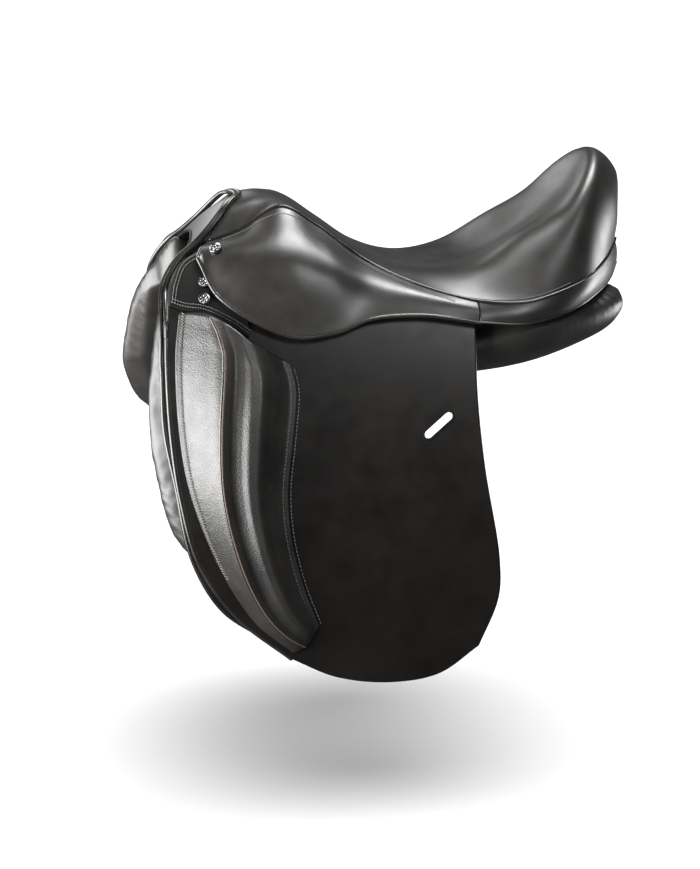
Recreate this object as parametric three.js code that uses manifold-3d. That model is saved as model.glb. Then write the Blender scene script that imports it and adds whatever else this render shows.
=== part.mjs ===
// English dressage saddle with a double flap and an outside thigh block.
// Millimetres, +Z up, the pommel towards -Y, the near (left) side towards +X.
// The origin is on the centre plane, on the underside of the gullet lining at mid-length.
import * as THREE from "three";
import Module from "manifold-3d";
import { mergeVertices } from "three/addons/utils/BufferGeometryUtils.js";

const wasm = await Module();
wasm.setup();

// ---------------------------------------------------------------- driving dimensions
const COVER = 2.5; // seat leather
const FOAM_TOP = 4.6; // depths below the seat's surface, in order
const FOAM_BOTTOM = 9.6;
const WEB_TOP = 11.7;
const WEB_BOTTOM = 12.8;
const TREE_TOP = 15;
const TREE_BOTTOM = 22;
const SPRING_TOP = 24;
const SPRING_BOTTOM = 26;
const SKIRT = 4; // skirt and rear strip leather
const FACING = 3;

// Layers beside the saddle, as offsets from the flap's outer face.
const FLAP = [-4.5, 0];
const BILLET = [-9.3, -5.8];
const GIRTH_WEB = [-9, -6.5];
const SWEAT_FLAP = [-14.5, -11];
const TREE_POINT = [-24, -17];
const ROLL_FACE = -25.6;
const POCKET = [0.8, 3.6];
const BLOCK_BACK = 0.8;
const BLOCK_LEATHER = 2.6;

const HEM_GAP = 2; // from the hinge line to the leather on each side of it
const WELT_RADIUS = 2;
const BILLET_WIDTH = 26;
const BILLET_Y = { front: -62, rear: -6 };
const GIRTH_WEB_TOP = { front: 62, rear: 38 };
const STUD_RADIUS = 7.5;
const POCKET_STUD_RADIUS = 6.3;
const SLOT = { y: 63, z: -89, length: 36, width: 9, slant: 0.67 };
const BEARING = { x: 72, y: 80, z: -44, length: 170, tilt: 25 * (Math.PI / 180) };
const LINING = { width: 60, half: 1 };
const STRAP_TOP = 9;
const STRAP_TIP = -318;
const GIRTH_WEB_TIP = 12;

// Patches of the seat's surface that its layers fill, as [u0, u1, v0, v1].
const PATCH = {
  cover: [0.006, 0.994, 0.004, 0.996],
  foam: [0.06, 0.94, 0.09, 0.7],
  webFront: [0.14, 0.86, 0.2, 0.3],
  webRear: [0.16, 0.84, 0.34, 0.5],
  spring: [0.74, 0.8, 0.12, 0.6],
  tree: [0.1, 0.9, 0.03, 0.72],
};

// The opening through the tree under the rider.
const TREE_HOLE = { y: 45, length: 170, width: 64 };

// Arched bands across the tree's head: depth below the arch, thickness, front, back,
// and how many of the side's point heights each reaches down.
const HEAD = { depth: 0, thickness: TREE_POINT[1] - TREE_POINT[0], front: -136, back: -98, legs: 4 };
const NECK = { depth: -7, thickness: 9, front: -110, back: -98, legs: 0 };
const HEAD_PLATE = { depth: 3, thickness: 8, front: -140, back: -136.6, legs: 2 };
const GULLET_PLATE = { depth: 10, thickness: 2.6, front: -132, back: -102, legs: 2 };

// The thigh block's height off the flap, against the shares across and down its outline.
const BLOCK = { edge: 3, rise: 29, ridge: 0.36, fullness: 0.75, taper: 0.55, lipShare: 0.06, lipHeight: 0.35 };
// The block's foam: its share of the outline, and its gaps to the leather and the flap.
const BLOCK_FOAM = { s0: 0.1, across: 0.72, down0: 0.07, down: 0.84, gap: 2.6, thinnest: 0.4 };

// The front roll's thickness: full along its front edge and thin behind.
const ROLL = { thin: 6, full: 26, frontShare: 0.1, slope: 0.72, topShare: 0.06, bottomShare: 0.08 };

const STUD = { height: 3.5, u: 0.62, v: 0.055, lift: 2.2 };
const POCKET_STUDS = [
  { name: "lower", y: -167, z: 36, height: 3, lift: 4.4 },
  { name: "upper", y: -166, z: 51, height: 3, lift: 4.2 },
];
const WELT_LIFT = 3.7; // the welt's centre above the seat seam

// The hinge line that the flap and the skirt share: its height against Y.
const HINGE = { y: -151, z: 44, endY: 110, endZ: 24 };
const hingeShare = (y) => (y - HINGE.y) / (HINGE.endY - HINGE.y);
const hingeZ = (y) => HINGE.z + (HINGE.endZ - HINGE.z) * hingeShare(y);

// ---------------------------------------------------------------- guide curves
// Side of the saddle: the flap's outer face, X against Y and Z.
function side(y, z) {
  const down = 90 - z;
  return 98 + 0.46 * down - 0.00045 * down * down + 0.05 * y - 25 * Math.exp(-down / 30);
}

const curve = (points) => new THREE.CatmullRomCurve3(points.map((p) => new THREE.Vector3(...p)));
const outline = (points) => new THREE.SplineCurve(points.map((p) => new THREE.Vector2(...p)));

// The seat: stations from the pommel round to the back of the cantle, each from the
// centreline through a shoulder to the seam, and mirrored to the far side.
const SEAT_CENTRE = curve([
  [0, -121, 130], [0, -98, 131], [0, -70, 124], [0, -36, 101], [0, 10, 69], [0, 60, 50], [0, 118, 52],
  [0, 172, 78], [0, 225, 122], [0, 260, 168], [0, 288, 146], [0, 291, 108], [0, 290, 77],
]);
const SEAT_SHOULDER = curve([
  [34, -133, 118], [32, -105, 125], [32, -75, 124], [36, -39, 101], [48, 6, 70], [66, 57, 53], [88, 114, 58],
  [82, 166, 88], [84, 205, 108], [68, 247, 142], [52, 272, 128], [34, 284, 96], [9, 289, 76],
]);
const SEAT_SEAM = curve([
  [56, -162, 86], [54, -124, 98], [56, -82, 121], [60, -43, 100], [77, 2, 67], [108, 55, 44], [133, 110, 31],
  [143, 158, 30], [136, 192, 37], [115, 229, 47], [82, 256, 58], [48, 275, 68], [16, 288, 73],
]);

// The skirt: stations from the seam through the bulge to the lower edge.
const SKIRT_TOP = curve([
  [58, -162, 85], [54, -124, 98], [56, -82, 121], [60, -43, 100], [77, 2, 67], [108, 55, 44], [133, 110, 31],
]);
const SKIRT_BULGE = curve([
  [76, -167, 83], [99, -141, 82], [118, -83, 77], [118, -40, 67], [115, 1, 50], [127, 53, 37], [143, 110, 23],
]);
const SKIRT_EDGE = curve([
  [91, -170, 77], [119, -153, 41], [141, -84, 3], [142, -38, 5], [139, 0, 18], [140, 52, 20], [147, 109, 12],
]);
// Share of the way down the skirt at which it hinges, station by station.
const SKIRT_SPLIT = outline([[0, 1.05], [1, 0.9], [2, 0.74], [3, 0.68], [4, 0.6], [5, 0.5], [6, 0.45]]);
// Room below the hinge, in the same shares, that the lobe's inner face needs as it lifts.
const LOBE_ROOM = outline([[0, 0.04], [1, 0.07], [2, 0.1], [3, 0.12], [4, 0.16], [5, 0.18], [6, 0.14]]);

// The strip behind the skirt, over the top of the panel and round below the cantle.
const STRIP_TOP = curve([
  [133, 111.5, 31], [143, 158, 30], [136, 192, 37], [115, 229, 47], [82, 256, 58], [48, 275, 68], [4, 290, 73],
]);
const STRIP_EDGE = curve([
  [147, 111, 11], [149, 155, 9], [140, 192, 14], [122, 220, 20], [94, 246, 27], [56, 271, 34], [4, 295, 42],
]);

// ---------------------------------------------------------------- solids
function geometryOf(positions, triangles) {
  const geometry = new THREE.BufferGeometry();
  geometry.setAttribute("position", new THREE.Float32BufferAttribute(positions, 3));
  geometry.setIndex(triangles);
  return geometry;
}

function volumeOf(positions, triangles) {
  const [a, b, c] = [new THREE.Vector3(), new THREE.Vector3(), new THREE.Vector3()];
  let volume = 0;
  for (let i = 0; i < triangles.length; i += 3) {
    a.fromArray(positions, 3 * triangles[i]);
    b.fromArray(positions, 3 * triangles[i + 1]);
    c.fromArray(positions, 3 * triangles[i + 2]);
    volume += a.dot(b.cross(c)) / 6;
  }
  return volume;
}

function turnedOut(positions, triangles) {
  if (volumeOf(positions, triangles) < 0) triangles.reverse();
  return geometryOf(positions, triangles);
}

// A closed sheet between two faces, each a function of (u, v) from 0 to 1.
function sheet(outer, inner, across, along) {
  const positions = [];
  const triangles = [];
  const row = across + 1;
  const face = row * (along + 1);
  for (const point of [outer, inner]) {
    for (let j = 0; j <= along; j++) {
      for (let i = 0; i <= across; i++) positions.push(...point(i / across, j / along).toArray());
    }
  }
  const quad = (a, b, c, d) => triangles.push(a, b, c, a, c, d);
  for (let j = 0; j < along; j++) {
    for (let i = 0; i < across; i++) {
      const k = j * row + i;
      quad(k, k + 1, k + row + 1, k + row);
      quad(face + k, face + k + row, face + k + row + 1, face + k + 1);
    }
  }
  for (let i = 0; i < across; i++) {
    const end = along * row + i;
    quad(i, face + i, face + i + 1, i + 1);
    quad(end, end + 1, face + end + 1, face + end);
  }
  for (let j = 0; j < along; j++) {
    const left = j * row;
    const right = left + across;
    quad(left, left + row, face + left + row, face + left);
    quad(right, face + right, face + right + row, right + row);
  }
  return turnedOut(positions, triangles);
}

// A closed loft through rings, each a function of (station, share of the ring).
function loft(ring, stations, around) {
  const positions = [];
  const triangles = [];
  for (let j = 0; j <= stations; j++) {
    for (let i = 0; i < around; i++) positions.push(...ring(j / stations, i / around).toArray());
  }
  for (let j = 0; j < stations; j++) {
    for (let i = 0; i < around; i++) {
      const [a, b] = [j * around + i, j * around + ((i + 1) % around)];
      triangles.push(a, b, b + around, a, b + around, a + around);
    }
  }
  for (const [first, turn] of [[0, false], [stations * around, true]]) {
    const middle = positions.length / 3;
    const centre = new THREE.Vector3();
    for (let i = 0; i < around; i++) {
      centre.addScaledVector(new THREE.Vector3().fromArray(positions, 3 * (first + i)), 1 / around);
    }
    positions.push(...centre.toArray());
    for (let i = 0; i < around; i++) {
      const [a, b] = [first + i, first + ((i + 1) % around)];
      triangles.push(...(turn ? [middle, a, b] : [middle, b, a]));
    }
  }
  return turnedOut(positions, triangles);
}

function solidOf(geometry) {
  const bare = geometry.clone();
  bare.deleteAttribute("normal");
  bare.deleteAttribute("uv");
  const merged = mergeVertices(bare, 1e-3);
  return new wasm.Manifold(
    new wasm.Mesh({
      numProp: 3,
      vertProperties: merged.attributes.position.array,
      triVerts: new Uint32Array(merged.index.array),
    }),
  );
}

function geometryFrom(solid) {
  const mesh = solid.getMesh();
  return geometryOf(Array.from(mesh.vertProperties), Array.from(mesh.triVerts));
}

const cut = (geometry, tool) => geometryFrom(solidOf(geometry).subtract(solidOf(tool)));
const joined = (a, b) => geometryFrom(solidOf(a).add(solidOf(b)));

function normalOf(surface, u, v) {
  const [low, high] = [(t) => Math.max(0, t - 0.004), (t) => Math.min(1, t + 0.004)];
  const alongU = surface(high(u), v).sub(surface(low(u), v));
  const alongV = surface(u, high(v)).sub(surface(u, low(v)));
  return alongU.cross(alongV).normalize();
}

// A sheet that lies below a surface, between two depths measured along its normal.
function below(surface, top, bottom, range, across, along) {
  const [u0, u1, v0, v1] = range;
  const at = (depth) => (i, j) => {
    const [u, v] = [u0 + (u1 - u0) * i, v0 + (v1 - v0) * j];
    return surface(u, v).addScaledVector(normalOf(surface, u, v), -depth);
  };
  return sheet(at(top), at(bottom), across, along);
}

// A flat outline of four curves in Y and Z, filled evenly from its edges.
function filled({ top, bottom, front, rear }) {
  const [t, b, f, r] = [top, bottom, front, rear].map(outline);
  return (s, down) => {
    const point = new THREE.Vector2();
    point.addScaledVector(t.getPointAt(s), 1 - down).addScaledVector(b.getPointAt(s), down);
    point.addScaledVector(f.getPointAt(down), 1 - s).addScaledVector(r.getPointAt(down), s);
    point.addScaledVector(t.getPoint(0), -(1 - s) * (1 - down)).addScaledVector(t.getPoint(1), -s * (1 - down));
    point.addScaledVector(b.getPoint(0), -(1 - s) * down).addScaledVector(b.getPoint(1), -s * down);
    return point;
  };
}

// An outline laid on the side of the saddle, from one offset to another.
function layer(shape, [inner, outer], across, along) {
  const fill = filled(shape);
  const at = (offset) => (s, down) => {
    const { x: y, y: z } = fill(s, down);
    return new THREE.Vector3(side(y, z) + (offset instanceof Function ? offset(s, down) : offset), y, z);
  };
  return sheet(at(outer), at(inner), across, along);
}

// ---------------------------------------------------------------- the model
const saddle = new THREE.Group();

const looks = {
  seat: { color: 0x1b1a19, roughness: 0.38, metalness: 0 },
  flap: { color: 0x191716, roughness: 0.55, metalness: 0 },
  block: { color: 0x1d1c1b, roughness: 0.42, metalness: 0 },
  panel: { color: 0x1c1b1a, roughness: 0.4, metalness: 0 },
  chrome: { color: 0xc9cacb, roughness: 0.15, metalness: 1 },
  steel: { color: 0x8a8c8f, roughness: 0.35, metalness: 1 },
  foam: { color: 0xd8d2c0, roughness: 0.95, metalness: 0 },
  web: { color: 0x6b6457, roughness: 0.9, metalness: 0 },
  tree: { color: 0x3a3a38, roughness: 0.6, metalness: 0 },
};

function add(name, geometry, look) {
  const mesh = new THREE.Mesh(geometry, new THREE.MeshStandardMaterial(looks[look]));
  mesh.name = name;
  saddle.add(mesh);
}

// The same piece on the near side and, mirrored, on the off side.
function addPair(name, geometry, look) {
  const source = geometry.index ? geometry : mergeVertices(geometry, 1e-4);
  const positions = Array.from(source.attributes.position.array, (value, i) => (i % 3 ? value : -value));
  add(`${name}_near`, geometry, look);
  add(`${name}_off`, geometryOf(positions, Array.from(source.index.array).reverse()), look);
}

// ---- seat: station by v, from the off seam (u = 0) to the near seam (u = 1)
function seatSurface(u, v) {
  const [seam, shoulder, centre] = [SEAT_SEAM, SEAT_SHOULDER, SEAT_CENTRE].map((c) => c.getPoint(v));
  const mirror = (p) => new THREE.Vector3(-p.x, p.y, p.z);
  return new THREE.CatmullRomCurve3([mirror(seam), mirror(shoulder), centre, shoulder, seam]).getPoint(u);
}

function addSeat() {
  add("seat_cover", below(seatSurface, 0, COVER, PATCH.cover, 12, 20), "seat");
  add("seat_foam", below(seatSurface, FOAM_TOP, FOAM_BOTTOM, PATCH.foam, 8, 12), "foam");
  add("seat_web_front", below(seatSurface, WEB_TOP, WEB_BOTTOM, PATCH.webFront, 8, 4), "web");
  add("seat_web_rear", below(seatSurface, WEB_TOP, WEB_BOTTOM, PATCH.webRear, 8, 6), "web");
  const spring = below(seatSurface, SPRING_TOP, SPRING_BOTTOM, PATCH.spring, 1, 14);
  addPair("tree_spring", spring, "steel");
}

// ---- tree: a moulded shell open under the rider, with an arched head whose points run down the sides
const ARCH = [[0, 104], [30, 98], [49, 84], [64, 68]];
const POINT_HEIGHTS = [52, 30, 5, -18];

function archBand({ depth, thickness, front, back, legs }) {
  const middle = (front + back) / 2;
  const points = POINT_HEIGHTS.slice(0, legs).map((z) => [side(middle, z) + TREE_POINT[1], z]);
  const half = [...ARCH, ...points];
  const mirror = half.slice(1).reverse().map(([x, z]) => [-x, z]);
  const line = outline([...mirror, ...half]);
  const faceAt = (inset) => (u, v) => {
    const point = line.getPoint(u);
    const tangent = line.getTangent(u);
    const y = front + (back - front) * v;
    return new THREE.Vector3(point.x + tangent.y * inset, y, point.y - tangent.x * inset);
  };
  return sheet(faceAt(depth), faceAt(depth + thickness), 20, 1);
}

function addTree() {
  const shell = below(seatSurface, TREE_TOP, TREE_BOTTOM, PATCH.tree, 10, 14);
  const oblong = roundEnded(TREE_HOLE.length, TREE_HOLE.width);
  const hole = new THREE.ExtrudeGeometry(oblong, { depth: 200, bevelEnabled: false, curveSegments: 8 });
  hole.rotateZ(Math.PI / 2).translate(0, TREE_HOLE.y, -60);
  add("tree", joined(cut(shell, hole), joined(archBand(HEAD), archBand(NECK))), "tree");
  add("head_plate", archBand(HEAD_PLATE), "steel");
  add("gullet_plate", archBand(GULLET_PLATE), "steel");
}

// An oblong with round ends, lying along X.
function roundEnded(length, width) {
  const [straight, radius] = [(length - width) / 2, width / 2];
  const shape = new THREE.Shape();
  shape.absarc(straight, 0, radius, -Math.PI / 2, Math.PI / 2);
  shape.absarc(-straight, 0, radius, Math.PI / 2, (3 * Math.PI) / 2);
  return shape;
}

// ---- pommel facing: the sloping band between the two head welts
function facingSurface(u, v) {
  const upper = [[54, -160, 88], [32, -136, 115], [0, -126, 124]];
  const lower = [[58, -186, 66], [34, -174, 82], [0, -170, 88]];
  const across = (half) => {
    const near = half.map((p) => new THREE.Vector3(...p));
    const far = half.slice(0, 2).map(([x, y, z]) => new THREE.Vector3(-x, y, z));
    return new THREE.CatmullRomCurve3([...far, near[2], near[1], near[0]]).getPoint(u);
  };
  return across(lower).lerp(across(upper), v);
}

// ---- skirt, in the station share v, from the seam (u = 0) to the lower edge (u = 1)
function skirtSurface(u, v) {
  const points = [SKIRT_TOP, SKIRT_BULGE, SKIRT_EDGE].map((c) => c.getPoint(v));
  return new THREE.CatmullRomCurve3(points).getPoint(u);
}

function skirtPart(from, to, v0, v1, across, along) {
  const surface = (u, v) => {
    const share = v0 + (v1 - v0) * v;
    const [start, end] = [from(share), to(share)];
    return skirtSurface(start + (end - start) * u, share);
  };
  return below(surface, 0, SKIRT, [0, 1, 0, 1], across, along);
}

function addSkirts() {
  const gap = 0.035; // above the hinge, as a share of the way down
  const split = (v) => Math.min(SKIRT_SPLIT.getPoint(v).y, 1 + gap);
  const lobeTop = (v) => Math.min(SKIRT_SPLIT.getPoint(v).y + LOBE_ROOM.getPoint(v).y, 0.985);
  addPair("skirt_yoke", skirtPart(() => 0.03, (v) => split(v) - gap, 0, 1, 6, 13), "seat");
  addPair("skirt", skirtPart(lobeTop, () => 1, 1 / 6, 1, 4, 12), "seat");
  const strip = (u, v) => STRIP_TOP.getPoint(v).lerp(STRIP_EDGE.getPoint(v), u);
  addPair("rear_strip", below(strip, 0, 3, [0.06, 1, 0, 0.995], 3, 16), "seat");
}

// ---- side pieces
const FLAP_SHAPE = {
  top: [[-197, hingeZ(-197) - HEM_GAP], [110, hingeZ(110) - HEM_GAP]],
  front: [
    [-197, hingeZ(-197) - HEM_GAP], [-203, 15], [-208, -27], [-207, -90], [-200, -154], [-184, -218],
    [-148, -272], [-94, -317],
  ],
  rear: [[110, hingeZ(110) - HEM_GAP], [105, -59], [109, -130], [121, -223], [119, -262], [98, -311]],
  bottom: [[-94, -317], [-49, -338], [6, -346], [56, -339], [98, -311]],
};
const HEAD_SHAPE = {
  top: [[-170, 69], [-110, 78], [-60, 70], [0, 44], [58, 34]],
  bottom: [[-197, hingeZ(-197) + 1], [60, hingeZ(60) + 1]],
  front: [[-170, 69], [-187, 62], [-197, hingeZ(-197) + 1]],
  rear: [[58, 34], [60, hingeZ(60) + 1]],
};
const POCKET_SHAPE = {
  top: [[-165, 69], [-150, 69]],
  bottom: [[-194, hingeZ(-194) + 1], [-128, hingeZ(-128) + 1]],
  front: [[-165, 69], [-182, 63], [-194, hingeZ(-194) + 1]],
  rear: [[-150, 69], [-134, 58], [-128, hingeZ(-128) + 1]],
};
const BLOCK_SHAPE = {
  top: [[-193, 25], [-166, 25], [-145, 15], [-116, -7], [-85, -25]],
  front: [[-193, 25], [-199, -14], [-199, -90], [-190, -150], [-162, -226], [-128, -280], [-92, -310]],
  rear: [[-85, -25], [-79, -60], [-82, -120], [-84, -190], [-76, -241], [-66, -283]],
  bottom: [[-92, -310], [-79, -303], [-66, -283]],
};
const SWEAT_SHAPE = {
  top: [[-190, 58], [-60, 44], [0, 28], [95, 12]],
  front: [
    [-190, 58], [-205, 28], [-213, -30], [-213, -85], [-204, -140], [-190, -215], [-162, -266], [-120, -297],
  ],
  rear: [[95, 12], [60, -30], [38, -80], [28, -170], [26, -255]],
  bottom: [[-120, -297], [-60, -308], [-10, -296], [26, -255]],
};
const ROLL_SHAPE = {
  top: [[-197, 50], [-150, 10], [-80, -28], [30, -46]],
  front: [[-197, 50], [-215, 18], [-227, -40], [-230, -86], [-226, -140], [-208, -203], [-186, -228]],
  rear: [[30, -46], [12, -100], [-5, -150], [-30, -190]],
  bottom: [[-186, -228], [-140, -238], [-85, -225], [-30, -190]],
};

// How far the thigh block stands off the flap: a steep front face, a ridge, and a long slope behind.
function blockHeight(s, down) {
  const { edge, rise, ridge, fullness, taper, lipShare, lipHeight } = BLOCK;
  const quarter = Math.PI / 2;
  const profile = s < ridge ? Math.sin((quarter * s) / ridge) : Math.cos((quarter * (s - ridge)) / (1 - ridge));
  const narrowing = 1 - taper * Math.pow(down, 3);
  const lip = lipHeight + (1 - lipHeight) * Math.min(1, (1 - down) / lipShare);
  return edge + rise * Math.pow(Math.max(profile, 0), fullness) * narrowing * lip;
}

function rollDepth(s, down) {
  const across = Math.sqrt(Math.min(1, s / ROLL.frontShare)) * (1 - ROLL.slope * s);
  const ends = Math.sqrt(Math.min(1, down / ROLL.topShare + 0.25, (1 - down) / ROLL.bottomShare + 0.02));
  return ROLL.thin + ROLL.full * across * ends;
}

function slotTool() {
  const oblong = roundEnded(SLOT.length, SLOT.width);
  const tool = new THREE.ExtrudeGeometry(oblong, { depth: 40, bevelEnabled: false, curveSegments: 8 });
  // The oblong's length is along Y and its depth along X.
  tool.translate(0, 0, -20).rotateX(Math.PI / 2).rotateZ(Math.PI / 2).rotateX(SLOT.slant);
  return tool.translate(side(SLOT.y, SLOT.z), SLOT.y, SLOT.z);
}

function addSides() {
  const blockFaces = [
    (s, down) => BLOCK_BACK + Math.max(0, blockHeight(s, down) - BLOCK_LEATHER),
    (s, down) => BLOCK_BACK + blockHeight(s, down),
  ];
  const rollFaces = [(s, down) => ROLL_FACE - rollDepth(s, down), ROLL_FACE];
  addPair("flap", cut(layer(FLAP_SHAPE, FLAP, 9, 11), slotTool()), "flap");
  addPair("flap_head", layer(HEAD_SHAPE, FLAP, 8, 3), "flap");
  addPair("point_pocket", layer(POCKET_SHAPE, POCKET, 5, 4), "flap");
  addPair("sweat_flap", layer(SWEAT_SHAPE, SWEAT_FLAP, 8, 11), "flap");
  addPair("front_roll", layer(ROLL_SHAPE, rollFaces, 8, 9), "panel");
  addPair("thigh_block_cover", layer(BLOCK_SHAPE, blockFaces, 9, 10), "block");
  addPair("thigh_block_foam", blockFoam(), "foam");
  for (const [name, y] of Object.entries(BILLET_Y)) {
    addPair(`girth_web_${name}`, strap(y, GIRTH_WEB_TOP[name], GIRTH_WEB_TIP, GIRTH_WEB, 3), "web");
    addPair(`billet_${name}`, strap(y, STRAP_TOP, STRAP_TIP, BILLET, 14), "flap");
  }
}

// A straight strap down the side, centred on y.
function strap(y, z0, z1, depths, steps) {
  const [a, b] = [y - BILLET_WIDTH / 2, y + BILLET_WIDTH / 2];
  const shape = {
    top: [[a, z0], [b, z0]],
    bottom: [[a, z1], [b, z1]],
    front: [[a, z0], [a, z1]],
    rear: [[b, z0], [b, z1]],
  };
  return layer(shape, depths, 1, steps);
}

// The foam fills the block's cover, clear of its leather.
function blockFoam() {
  const { s0, across, down0, down: depth, gap, thinnest } = BLOCK_FOAM;
  const fill = filled(BLOCK_SHAPE);
  const at = (face) => (i, j) => {
    const [s, down] = [s0 + across * i, down0 + depth * j];
    const { x: y, y: z } = fill(s, down);
    return new THREE.Vector3(side(y, z) + face(s, down), y, z);
  };
  const crown = (s, down) => Math.max(blockHeight(s, down) - BLOCK_LEATHER - gap, thinnest);
  return sheet(at((s, down) => BLOCK_BACK + crown(s, down)), at(() => BLOCK_BACK), 6, 7);
}

// ---- panels: padded cushions beside the gullet, each ring given by six points
const PANEL_RINGS = [
  [-166, [46, 60], [56, 61], [62, 44], [64, 20], [54, 12], [44, 34]],
  [-110, [38, 54], [55, 55], [74, 30], [88, -2], [66, -18], [40, 8]],
  [-10, [37, 10], [70, 18], [100, 2], [106, -32], [74, -52], [38, -32]],
  [90, [37, 4], [78, 12], [112, -2], [122, -28], [80, -56], [37, -32]],
  [170, [37, 16], [84, 22], [130, 3], [126, -22], [80, -46], [37, -26]],
  [225, [37, 30], [78, 24], [114, 8], [110, -14], [72, -30], [37, -10]],
  [268, [37, 30], [56, 28], [86, 14], [82, -6], [60, -12], [38, 4]],
  [287, [44, 22], [54, 22], [64, 14], [64, 8], [54, 4], [44, 10]],
];

function panelRing(share, around) {
  const rows = PANEL_RINGS.map(([y, ...ring]) => ring.map(([x, z]) => new THREE.Vector3(x, y, z)));
  const ring = rows[0].map((_, k) => new THREE.CatmullRomCurve3(rows.map((row) => row[k])).getPoint(share));
  return new THREE.CatmullRomCurve3(ring, true).getPoint(around);
}

const LINING_HEIGHT = outline([
  [-150, 74], [-100, 52], [-50, 22], [0, 1], [60, -3], [120, 0], [180, 14], [240, 30],
]);

function addPanels() {
  // A flat facet where the cushion bears on the back, tilted with it.
  const tool = new THREE.BoxGeometry(200, BEARING.length, 60);
  tool.translate(0, 0, -30).rotateY(BEARING.tilt).translate(BEARING.x, BEARING.y, BEARING.z);
  addPair("panel", cut(loft(panelRing, 18, 12), tool), "panel");
  const lining = (lift) => (u, v) => {
    const { x: y, y: z } = LINING_HEIGHT.getPoint(v);
    return new THREE.Vector3(LINING.width * (u - 0.5), y, z + lift);
  };
  add("gullet_lining", sheet(lining(LINING.half), lining(-LINING.half), 2, 16), "panel");
}

// ---- stirrup bar and its catch, built lying along X and then set on the side
const BAR = {
  y: -81, z: 46.5, lift: 1.2, length: 62, width: 11, plate: 2, slot: 7, finger: 4.5,
  riser: 8, tip: 8, chamfer: 4,
};
const CATCH = { thickness: 2.6, height: 9, beyond: 2, middle: 7 };

// The frame that lies on the side of the saddle: X along it, Y up it and Z out of it.
function onSide(y, z, lift) {
  const slope = (side(y, z - 1) - side(y, z + 1)) / 2;
  const out = new THREE.Vector3(1, -0.05, slope).normalize();
  const along = new THREE.Vector3(0.05, 1, 0).normalize();
  const up = new THREE.Vector3().crossVectors(out, along);
  const matrix = new THREE.Matrix4().makeBasis(along, up, out);
  return matrix.setPosition(side(y, z) + lift * out.x, y + lift * out.y, z + lift * out.z);
}

function barProfile() {
  const { length, plate, slot, finger, riser, tip, chamfer } = BAR;
  const half = length / 2;
  const height = plate + slot + finger;
  const shape = new THREE.Shape();
  shape.moveTo(-half, 0);
  shape.lineTo(half, 0);
  shape.lineTo(half, plate);
  shape.lineTo(riser - half, plate);
  shape.lineTo(riser - half, plate + slot);
  shape.lineTo(half - tip, plate + slot);
  shape.absarc(half - tip, height - finger / 2, finger / 2, -Math.PI / 2, Math.PI / 2);
  shape.lineTo(chamfer - half, height);
  shape.lineTo(-half, height - chamfer);
  return shape;
}

function addBars() {
  const place = onSide(BAR.y, BAR.z, BAR.lift);
  const options = { depth: BAR.width, bevelEnabled: false, curveSegments: 6 };
  const bar = new THREE.ExtrudeGeometry(barProfile(), options);
  // The profile's depth is turned across the bar, and its height away from the side.
  bar.translate(0, 0, -BAR.width / 2).rotateX(Math.PI / 2).applyMatrix4(place);
  addPair("stirrup_bar", bar, "steel");
  const catchPlate = new THREE.BoxGeometry(CATCH.thickness, BAR.width - 2, CATCH.height);
  catchPlate.translate(BAR.length / 2 + CATCH.beyond, 0, CATCH.middle).applyMatrix4(place);
  addPair("bar_catch", catchPlate, "steel");
}

// ---- studs and welts
// A domed head on a flat back, along +Z.
function stud(radius, height) {
  const rim = 1;
  const steps = 3;
  const profile = [new THREE.Vector2(0, 0), new THREE.Vector2(radius, 0)];
  for (let i = 0; i < steps; i++) {
    const angle = (i / steps) * (Math.PI / 2);
    profile.push(new THREE.Vector2(radius * Math.cos(angle), rim + (height - rim) * Math.sin(angle)));
  }
  profile.push(new THREE.Vector2(0, height));
  return new THREE.LatheGeometry(profile, 12).rotateX(Math.PI / 2);
}

function addStuds() {
  const spot = skirtSurface(STUD.u, STUD.v);
  const facing = normalOf(skirtSurface, STUD.u, STUD.v);
  const turned = new THREE.Quaternion().setFromUnitVectors(new THREE.Vector3(0, 0, 1), facing);
  const skirtStud = stud(STUD_RADIUS, STUD.height).applyQuaternion(turned);
  skirtStud.translate(...spot.addScaledVector(facing, STUD.lift).toArray());
  addPair("skirt_stud", skirtStud, "chrome");
  for (const { name, y, z, height, lift } of POCKET_STUDS) {
    addPair(`pocket_stud_${name}`, stud(POCKET_STUD_RADIUS, height).applyMatrix4(onSide(y, z, lift)), "chrome");
  }
}

// A welt lies on the seat's seam, round the whole of one side.
function addWelts() {
  const count = 24;
  const seam = Array.from({ length: count + 1 }, (_, i) => {
    const v = 0.02 + (0.96 * i) / count;
    return seatSurface(1, v).addScaledVector(normalOf(seatSurface, 0.99, v), WELT_LIFT);
  });
  const section = new THREE.Shape();
  section.absarc(0, 0, WELT_RADIUS, 0, 2 * Math.PI);
  const extrudePath = new THREE.CatmullRomCurve3(seam);
  const options = { steps: 26, curveSegments: 3, extrudePath, bevelEnabled: false };
  const welt = new THREE.ExtrudeGeometry(section, options);
  addPair("seat_welt", welt, "seat");
}

addSeat();
addTree();
add("pommel_facing", below(facingSurface, 0, FACING, [0.02, 0.98, 0, 1], 12, 3), "seat");
addSkirts();
addSides();
addPanels();
addBars();
addStuds();
addWelts();

export default saddle;
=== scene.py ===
"""A black dressage saddle in leather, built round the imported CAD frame.

Lengths are in millimetres until a mesh is made, and MM turns them into metres there.
+Z is up, the pommel is towards -Y and the near side towards +X. Every paired piece is
shaped on the near side and mirrored to the off side, apart from the front of the panel.
"""
import math

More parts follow.
